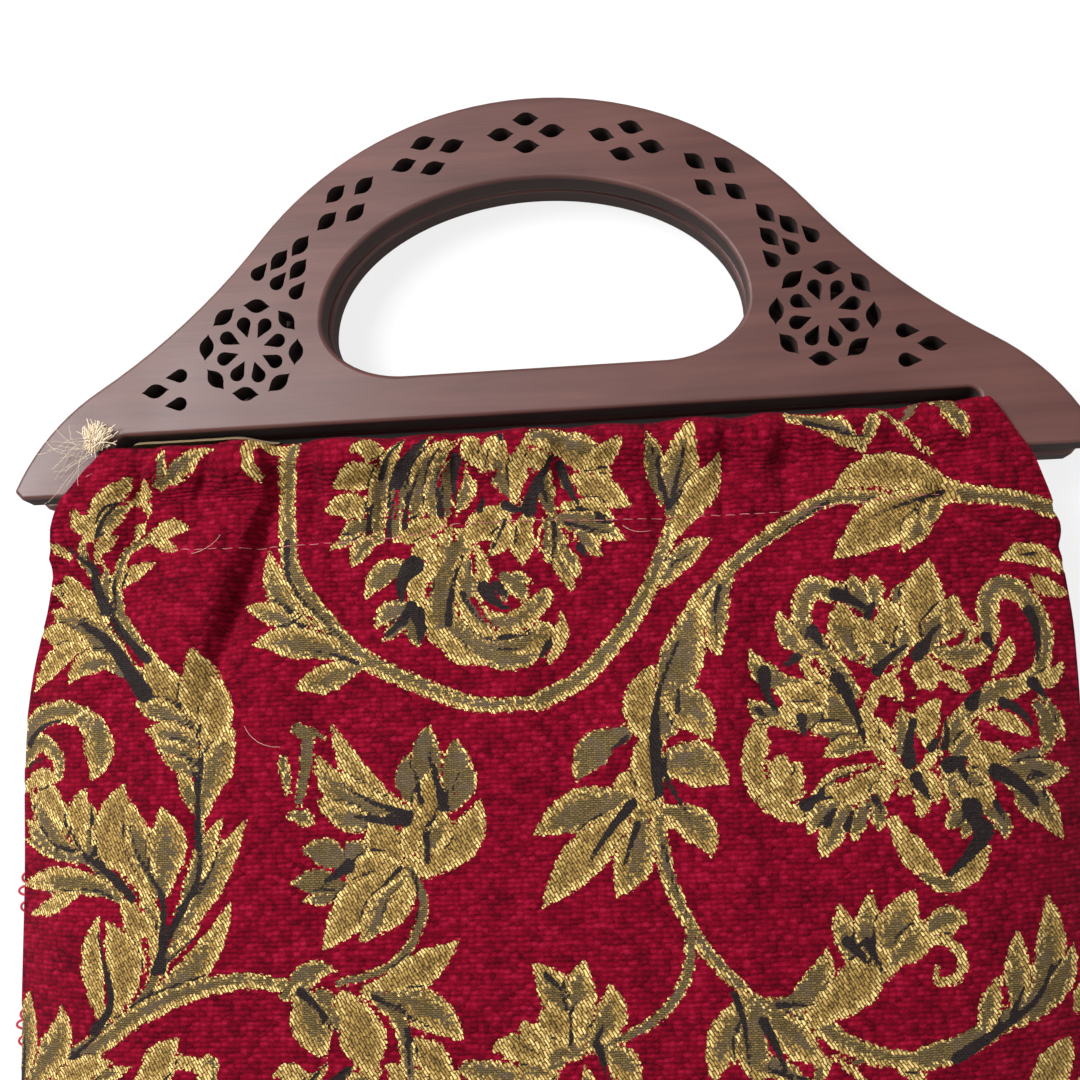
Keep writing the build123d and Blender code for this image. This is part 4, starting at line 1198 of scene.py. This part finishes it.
cloth_at = nodes.new("ShaderNodeAttribute")
cloth_at.attribute_name = "cloth_place"
flat_place = cloth_at.outputs["Vector"]
wander = nodes.new("ShaderNodeTexNoise")
wander.inputs["Scale"].default_value = 0.35
wander.inputs["Detail"].default_value = 2.0
links.new(flat_place, wander.inputs["Vector"])
uneven = nodes.new("ShaderNodeVectorMath")
uneven.operation = "MULTIPLY_ADD"
links.new(wander.outputs["Color"], uneven.inputs[0])
uneven.inputs[1].default_value = (1.1, 0.8, 0)
links.new(flat_place, uneven.inputs[2])
uneven_place = uneven.outputs["Vector"]

thread_cell = nodes.new("ShaderNodeVectorMath")
thread_cell.operation = "SNAP"
thread_cell.inputs[1].default_value = (0.75, 0.65, 1.0)
links.new(flat_place, thread_cell.inputs[0])
cell_chance = nodes.new("ShaderNodeTexWhiteNoise")
links.new(thread_cell.outputs["Vector"], cell_chance.inputs["Vector"])
jag = calc("SUBTRACT", cell_chance.outputs["Value"], 0.5)
edge = woven_value("edge")
in_motif = between(calc("MULTIPLY_ADD", jag, 0.9, edge), -0.06, 0.06)
in_dark = between(calc("MULTIPLY_ADD", jag, 0.5, woven_value("dark")), -0.06, 0.06)
in_gold = between(calc("MULTIPLY_ADD", jag, 0.62, woven_value("gold")), -0.05, 0.05)


def toned(tone, dark, middle, light):
    """A colour that runs through three as the tone goes from 0 to 1."""
    return mixed(between(tone, 0.5, 1.0), mixed(between(tone, 0.0, 0.5), dark, middle), light)


pile_row_pitch = 1.35
tufts = nodes.new("ShaderNodeTexVoronoi")
tufts.inputs["Scale"].default_value = 1.0
tufts.inputs["Randomness"].default_value = 0.55
links.new(turned(uneven_place, 0, (0.55, 1 / pile_row_pitch, 1.0)), tufts.inputs["Vector"])
tuft_chance = nodes.new("ShaderNodeSeparateColor")
links.new(tufts.outputs["Color"], tuft_chance.inputs["Color"])
tuft_crown = between(tufts.outputs["Distance"], 0.12, 0.68, 1.0, 0.0)
fuzz = speckle(flat_place, 2.6, 3.0)
worn = between(speckle(flat_place, 0.10, 4.0), 0.36, 0.66)
pile_rows = nodes.new("ShaderNodeSeparateXYZ")
links.new(uneven_place, pile_rows.inputs["Vector"])
row_turn = calc("MULTIPLY", pile_rows.outputs["Y"], math.tau / pile_row_pitch)
row_crown = between(calc("SINE", row_turn), -1.0, 1.0)
# Painted light and shade: the crown of each tuft and of each row is painted lighter, and the gaps between
# them darker; the rest of the pile tone varies at random.
pile_tone_and_shade = calc("MULTIPLY_ADD", tuft_chance.outputs[0], 0.36, calc("MULTIPLY", tuft_crown, 0.24))
pile_tone_and_shade = calc("MULTIPLY_ADD", between(fuzz, 0.3, 0.7), 0.30, pile_tone_and_shade)
pile_tone_and_shade = calc("MULTIPLY_ADD", row_crown, 0.10, pile_tone_and_shade)
pile_tone_and_shade = calc("MULTIPLY_ADD", worn, -0.16, pile_tone_and_shade)
pile_reds = (0.041, 0.0006, 0.0048, 1), (0.212, 0.0018, 0.0152, 1), (0.43, 0.013, 0.055, 1)
pile_color = toned(pile_tone_and_shade, *pile_reds)

slanted = turned(uneven_place, 30, (1, 1, 1))
white, grey, black = (1, 1, 1, 1), (0.42, 0.42, 0.42, 1), (0, 0, 0, 1)
floats, gold_gap = threads(turned(slanted, 90, (1, 1, 1)), 2.4, 0.82, 0.2, white, grey, black)
near_rim = between(edge, 0.6, 3.0, 1.0, 0.48)
gold_tone = calc("MULTIPLY", floats, near_rim)
gold_tone = calc("MULTIPLY_ADD", calc("SUBTRACT", cell_chance.outputs["Value"], 0.4), 0.30, gold_tone)
golds = (0.060, 0.033, 0.013, 1), (0.40, 0.250, 0.070, 1), (0.93, 0.70, 0.27, 1)
gold_color = toned(gold_tone, *golds)
rib_length, rib_pitch = 1.4, 0.56
olives = (0.215, 0.148, 0.053, 1), (0.120, 0.083, 0.032, 1), (0.046, 0.032, 0.017, 1)
olive_color, olive_gap = threads(uneven_place, rib_length, rib_pitch, 0.15, *olives)
faded = calc("MULTIPLY", between(speckle(flat_place, 0.16, 2.0), 0.45, 0.65), 0.5)
olive_color = mixed(faded, olive_color, (0.120, 0.087, 0.067, 1))
charcoals = (0.023, 0.017, 0.017, 1), (0.034, 0.025, 0.024, 1), (0.012, 0.009, 0.009, 1)
charcoal_color, _ = threads(uneven_place, rib_length, rib_pitch, 0.12, *charcoals)
motif_color = mixed(in_gold, olive_color, gold_color)
cloth_color = mixed(in_motif, pile_color, motif_color)
cloth_color = mixed(in_dark, cloth_color, charcoal_color)
tapestry_shader = nodes["Principled BSDF"]
links.new(cloth_color, tapestry_shader.inputs["Base Color"])
links.new(between(in_motif, 0.0, 1.0, 0.95, 0.5), tapestry_shader.inputs["Roughness"])
tapestry_shader.inputs["Sheen Weight"].default_value = 0.02
tapestry_shader.inputs["Sheen Roughness"].default_value = 0.45
tapestry_shader.inputs["Sheen Tint"].default_value = (1.0, 0.45, 0.60, 1)
tapestry_shader.inputs["Specular IOR Level"].default_value = 0.06
pile_height_here = calc("MULTIPLY_ADD", row_crown, 0.4, calc("MULTIPLY", tuft_crown, 0.7))
pile_height_here = calc("MULTIPLY_ADD", fuzz, 0.7, pile_height_here)
gold_height_here = calc("MULTIPLY", calc("SUBTRACT", 1.0, gold_gap), 0.5)
olive_height_here = calc("MULTIPLY", calc("SUBTRACT", 1.0, olive_gap), 0.3)
motif_height_here = mixed(in_gold, olive_height_here, gold_height_here, "FLOAT")
cloth_height = mixed(in_motif, pile_height_here, motif_height_here, "FLOAT")
cloth_bump = nodes.new("ShaderNodeBump")
cloth_bump.inputs["Strength"].default_value = 0.85
cloth_bump.inputs["Distance"].default_value = 0.0005
links.new(cloth_height, cloth_bump.inputs["Height"])
links.new(cloth_bump.outputs["Normal"], tapestry_shader.inputs["Normal"])
front_cloth.data.materials.append(tapestry)

# Back panel: the same tapestry, cut from the next repeat of the scroll, and lying flat where the
# bag rests on it.
back_rod_z = frame["joints"][1]["pos_m"][2]
back_points, back_places = cloth_grid(frame["nodes"]["back_panel"], back_rod_z, -1)
seen_from_behind = np.array([-1.0, 1.0])
back_weave = Weave(back_places.reshape(-1, 2) * seen_from_behind)
for back_repeat in ((-24.0, 204.0), (38.0, 52.0)):
    for motif in motifs:
        back_weave.motif(motif, back_repeat, above_hem)
pressed_flat = np.zeros(len(back_weave.place))
back_cloth = cloth_piece("back_cloth", back_points, back_places, -1, pressed_flat, back_weave)
back_cloth.data.materials.append(tapestry)
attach(back_cloth, "bag")
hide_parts("back_panel")

# Lining: a bag of thin cotton, slip-stitched under the hems, that follows the panels inside. Its colour
# is painted shade: the cream cotton is darkened to the tan it shows in the shade inside the bag.
lining_cotton = new_material("lining_cotton")
cotton_place = nodes.new("ShaderNodeTexCoord")
cotton_in_mm = turned(cotton_place.outputs["Object"], 0, (1 / mm, 1 / mm, 1 / mm))
# Painted shade: the lining's cream cotton is darkened to the tan it shows in shade.
shade_darkened_tans = (0.33, 0.24, 0.125, 1), (0.28, 0.20, 0.105, 1), (0.15, 0.105, 0.055, 1)
cotton_color, cotton_gap = threads(cotton_in_mm, 0.9, 0.45, 0.09, *shade_darkened_tans)
links.new(cotton_color, nodes["Principled BSDF"].inputs["Base Color"])
nodes["Principled BSDF"].inputs["Roughness"].default_value = 0.85
cotton_bump = nodes.new("ShaderNodeBump")
cotton_bump.inputs["Strength"].default_value = 0.3
cotton_bump.inputs["Distance"].default_value = 0.0001
links.new(cotton_gap, cotton_bump.inputs["Height"])
links.new(cotton_bump.outputs["Normal"], nodes["Principled BSDF"].inputs["Normal"])
lining_depth = 2.2
lining_top = 21.0
lining_bottom = 255.0
lining_inset = 9
lining_step = 4
lining_gap = 0.6


def lining_piece(name, points, out):
    """Every fourth line of a panel's sheet, moved inside it and kept off the other lining."""
    depth = rod_y / mm - points[:, points.shape[1] // 2, 1]
    lines = np.flatnonzero((depth > lining_top) & (depth < lining_bottom))
    lines = lines[lines > casing_rows][::lining_step]
    inside = points[lines][:, lining_inset:-lining_inset:lining_step].copy()
    inside = sunk_with_creases(inside) if out > 0 else inside
    inside[..., 2] -= out * lining_depth
    middle = seam_z + out * lining_gap
    inside[..., 2] = np.maximum(inside[..., 2], middle) if out > 0 else np.minimum(inside[..., 2], middle)
    piece = grid_piece(name, inside[::out])
    piece.data.materials.append(lining_cotton)
    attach(piece, "bag")
    return piece


front_lining = lining_piece("front_lining", front_points, 1)
back_lining = lining_piece("back_lining", back_points, -1)

# Shoulders: the two top corners of the front panel. Left loose at the ends of the casing, the
# bunched cloth spreads over the front of the handle's feet.
left_shoulder_edge = [
    (-8, 119), (-6, 121.5), (0.8, 128.8), (9, 136), (17, 139.6), (25, 141.6), (32, 140.6), (40, 141),
]
right_shoulder_edge = [
    (-8, 119), (-6.5, 121.5), (0, 126), (9.9, 131.8), (23.6, 137.4), (34, 138.6), (40, 138.6),
]
shoulder_start = 105.0
shoulder_bottom = 39.0
on_cloth_end, on_foot_start = 112.0, 124.0
shoulder_rows = 70
shoulder_columns = 52
foot_face_z = front_rod_z / mm + 4.8
casing_reach = 5.2
front_surface = BVHTree.FromObject(front_cloth, bpy.context.evaluated_depsgraph_get())


def on_front(x, depth, above):
    """A point that far above the front cloth, in mm."""
    start = Vector((x * mm, rod_y - depth * mm, ray_start))
    hit = front_surface.ray_cast(start, Vector((0, 0, -1)))[0]
    return (x, rod_y / mm - depth, hit.z / mm + above)


def tucked(piece):
    """Gives a piece its own copy of its mesh."""
    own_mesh(piece)


def shoulder(name, side, outline):
    """One corner as a sheet of its own. Inwards it dips under the front cloth, and outwards it lies
    on the foot."""
    points = np.empty((shoulder_rows, shoulder_columns, 3))
    body_rows = front_points[casing_rows:-bottom_rows]
    for row, depth in enumerate(np.linspace(-casing_reach + 0.2, shoulder_bottom, shoulder_rows)):
        edge_line = body_rows[max(0, int((depth - body_top) / row_pitch))]
        sheet_end = abs(edge_line[2 if side < 0 else -3, 0])
        merged = step_between(depth, 10.0, 30.0)
        sunk = step_between(depth, shoulder_bottom - 6.0, shoulder_bottom)
        reach = np.interp(depth, *zip(*outline)) * (1 - sunk) + (sheet_end - edge_inset) * sunk
        for column, share in enumerate(np.linspace(0, 1, shoulder_columns)[::side]):
            x = shoulder_start + (reach - shoulder_start) * share
            if depth > -3.5:
                sheet_z = on_front(side * min(x, sheet_end - 1.8), depth, 0.0)[2]
            else:
                sheet_z = front_rod_z / mm + math.sqrt(casing_reach**2 - depth**2)
            covered = 1 - step_between(x, on_cloth_end, on_foot_start) * (1 - merged)
            lift = 1.2 * step_between(x, shoulder_start, on_cloth_end) * (1 - sunk) - 0.75
            foot_z = foot_face_z + 1.0 + 0.9 * math.sin(math.pi * min(1, share * 1.1)) ** 2
            foot_z -= 0.7 * step_between(share, 0.9, 1.0)
            z = (sheet_z + lift) * covered + foot_z * (1 - covered)
            points[row, column] = (side * x, rod_y / mm - depth, z)
    places = points[..., :2] * np.array([1.0, -1.0]) + np.array([0.0, rod_y / mm])
    flat = places.reshape(-1, 2)
    corner = Weave(flat)
    for motif in motifs:
        corner.motif(motif, in_place, above_hem)
    lift = np.zeros(len(flat))
    for index, (x, depth) in enumerate(flat):
        spread = min(1.0, max(0.0, (abs(x) - 110) / 12))
        slanting_fold = noise.noise(Vector((x / 16, (depth - 0.8 * abs(x)) / 5.5, 1.7)))
        lift[index] = (slanting_fold + 0.25) * 0.9 * spread
    lift += pile_rise(corner)
    piece = cloth_piece(name, points, places, 1, lift, corner)
    piece.data.materials.append(tapestry)
    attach(piece, "bag")
    tucked(piece)
    return piece


left_shoulder = shoulder("left_shoulder", -1, left_shoulder_edge)
right_shoulder = shoulder("right_shoulder", 1, right_shoulder_edge)

# Casing stitches: one row of running stitches in pink cotton through both layers of the casing.


def mottled_thread(name, fineness, dark, light, roughness):
    """Plain thread, mottled between two colours."""
    material = new_material(name)
    tone = speckle(nodes.new("ShaderNodeTexCoord").outputs["Object"], fineness, 2.0)
    links.new(mixed(tone, dark, light), nodes["Principled BSDF"].inputs["Base Color"])
    nodes["Principled BSDF"].inputs["Roughness"].default_value = roughness
    return material


pinks = (0.36, 0.06, 0.08, 1), (0.62, 0.22, 0.21, 1)
thread_pink = mottled_thread("thread_pink", 900.0, *pinks, 0.7)


def thread_piece(name, paths, radius, material):
    """Round threads along lists of points in mm, as one mesh."""
    thread = bpy.data.curves.new(name, "CURVE")
    thread.dimensions = "3D"
    thread.bevel_depth = radius * mm
    thread.bevel_resolution = 1
    thread.use_fill_caps = True
    for path in paths:
        spline = thread.splines.new("POLY")
        spline.points.add(len(path) - 1)
        places = np.concatenate([np.array(path) * mm, np.ones((len(path), 1))], axis=1)
        spline.points.foreach_set("co", places.ravel())
    piece = bpy.data.objects.new(name, thread)
    scene.collection.objects.link(piece)
    bpy.ops.object.select_all(action="DESELECT")
    piece.select_set(True)
    bpy.context.view_layer.objects.active = piece
    bpy.ops.object.convert(target="MESH")
    bpy.ops.object.shade_smooth()
    piece.data.materials.append(material)
    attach(piece, "bag")
    return piece


stitch_line = [
    (-119, 23.5), (-95, 25), (-57, 24.6), (-35, 23.4), (-26, 20.8), (0, 21.0), (22, 22.0), (60, 22.5),
    (87, 20.6), (108, 19.2), (118, 20.6),
]
stitch_length = 3.1
stitch_gap = 0.9
stitches = []
stitch_x = stitch_line[0][0] + 1.5
while stitch_x < stitch_line[-1][0] - stitch_length:
    path = []
    for share in np.linspace(0, 1, 6):
        x = stitch_x + share * stitch_length
        depth = np.interp(x, *zip(*stitch_line)) + 0.25 * noise.noise(Vector((x / 3, 0, 0)))
        proud = 0.22 + 0.22 * noise.noise(Vector((x / 17, 0, 2.0)))
        path.append(on_front(x, depth, proud * math.sin(math.pi * share) - 0.16))
    stitches.append(path)
    stitch_x += stitch_length + stitch_gap
casing_stitches = thread_piece("casing_stitches", stitches, 0.13, thread_pink)

# Frayed corner: at the left end of the casing the cream ground threads have worked loose, as a
# short thick tuft with a few long hairs, which lie over the foot of the handle.
creams = (0.72, 0.56, 0.36, 1), (0.93, 0.83, 0.66, 1)
frayed_cotton = mottled_thread("frayed_cotton", 300.0, *creams, 0.8)
chance = np.random.default_rng(11)
tuft_root = np.array([-126.0, rod_y / mm + 5.6, foot_face_z + 1.0])
tuft_count, hair_count = 170, 22
fibre_bends, fibre_lift = 7, 3.0


def loose_fibre(root, way, length, droop, floor_z):
    """A thin fibre that starts one way, wavers, and stays above a surface."""
    point = root.copy()
    path = [point.copy()]
    for step in range(fibre_bends):
        way = way + chance.normal(0, 0.22, 3) + np.array([0, -droop, -0.05])
        way /= np.linalg.norm(way)
        point = point + way * length / fibre_bends
        point[2] = min(max(point[2], floor_z + 0.1 * step), floor_z + fibre_lift)
        path.append(point.copy())
    return path


tuft_paths = []
for _ in range(tuft_count):
    root = tuft_root + chance.normal(0, 1, 3) * np.array([1.1, 0.9, 0.45])
    turn = chance.normal(1.15, 0.20)
    way = np.array([math.cos(turn), math.sin(turn), chance.normal(0.12, 0.12)])
    tuft_paths.append(loose_fibre(root, way, chance.uniform(3.5, 7.5), 0.0, foot_face_z + 0.35))
frayed_tuft = thread_piece("frayed_tuft", tuft_paths, 0.15, frayed_cotton)
fray_paths = []
for _ in range(hair_count):
    root = tuft_root + chance.normal(0, 1, 3) * np.array([1.6, 1.6, 0.3])
    turn = chance.normal(3.45, 0.45)
    way = np.array([math.cos(turn), math.sin(turn), 0.1])
    fray_paths.append(loose_fibre(root, way, chance.uniform(9.0, 22.0), 0.06, foot_face_z + 0.4))
frayed_hairs = thread_piece("frayed_hairs", fray_paths, 0.04, frayed_cotton)
tucked(frayed_tuft)
tucked(frayed_hairs)
hair_paths = []
hair_points = 9
hairs = (-99, 26, 0.5, 11), (-84, 73, -0.6, 14), (22, 23, -0.3, 9), (120, 19, 1.2, 5)
for x, depth, turn, length in hairs:
    path = []
    for share in np.linspace(0, 1, hair_points):
        bend = turn + 1.1 * (share - 0.5)
        x += math.cos(bend) * length / hair_points
        depth -= math.sin(bend) * length / hair_points
        path.append(on_front(x, depth, 0.4 + 0.5 * math.sin(math.pi * share)))
    hair_paths.append(path)
loose_hairs = thread_piece("loose_hairs", hair_paths, 0.04, frayed_cotton)

# Pulled loops: a few loops of the crimson pile that have come out along the left seam.
crimsons = (0.33, 0.012, 0.03, 1), (0.62, 0.06, 0.08, 1)
loop_red = mottled_thread("loop_red", 700.0, *crimsons, 0.85)
loop_half_turn = 0.45 * math.pi
loop_paths = []
for depth, reach in ((115, 1.2), (119, 2.2), (123, 1.5), (153, 1.3), (156, 2.4), (160, 1.7)):
    line = front_points[np.abs(front_places[:, 0, 1] - depth).argmin()]
    edge = line[2]
    path = []
    for turn in np.linspace(-loop_half_turn, loop_half_turn, 8):
        bow = (math.cos(turn) - math.cos(loop_half_turn)) * reach
        path.append((edge[0] + 0.4 - bow, edge[1] + 1.3 * math.sin(turn), edge[2] - 0.2 + 0.3 * bow))
    loop_paths.append(path)
pulled_loops = thread_piece("pulled_loops", loop_paths, 0.36, loop_red)

# Rolled lining: at the left the lining, painted in its shaded tan, has rolled out over the top of the
# casing and shows as a smooth strip below the bar of the handle.
roll_start, roll_end = -117.0, -73.0
roll_columns = 60
roll_turns = np.radians(np.linspace(-60, 36, 12))
roll_points = []
for turn in roll_turns:
    row = []
    for share in np.linspace(0, 1, roll_columns):
        x = roll_start + (roll_end - roll_start) * share
        fade = step_between(share, 0.0, 0.06) * (1 - step_between(share, 0.72, 1.0))
        reach = 5.0 + 2.3 * fade + 0.12 * noise.noise(Vector((x / 6, 0, 4.0)))
        row.append((x, rod_y / mm + reach * math.cos(turn), front_rod_z / mm + reach * math.sin(turn)))
    roll_points.append(row)
rolled_lining = grid_piece("rolled_lining", np.array(roll_points[::-1]))
rolled_lining.data.materials.append(lining_cotton)
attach(rolled_lining, "bag")

# Each panel is cut a little longer than the bag, for the casing, and drawn up along its rod. The
# lining is cut to the bag itself.
front_fringes = [left_shoulder, right_shoulder, casing_stitches]
front_fringes += [frayed_tuft, frayed_hairs, loose_hairs, pulled_loops]
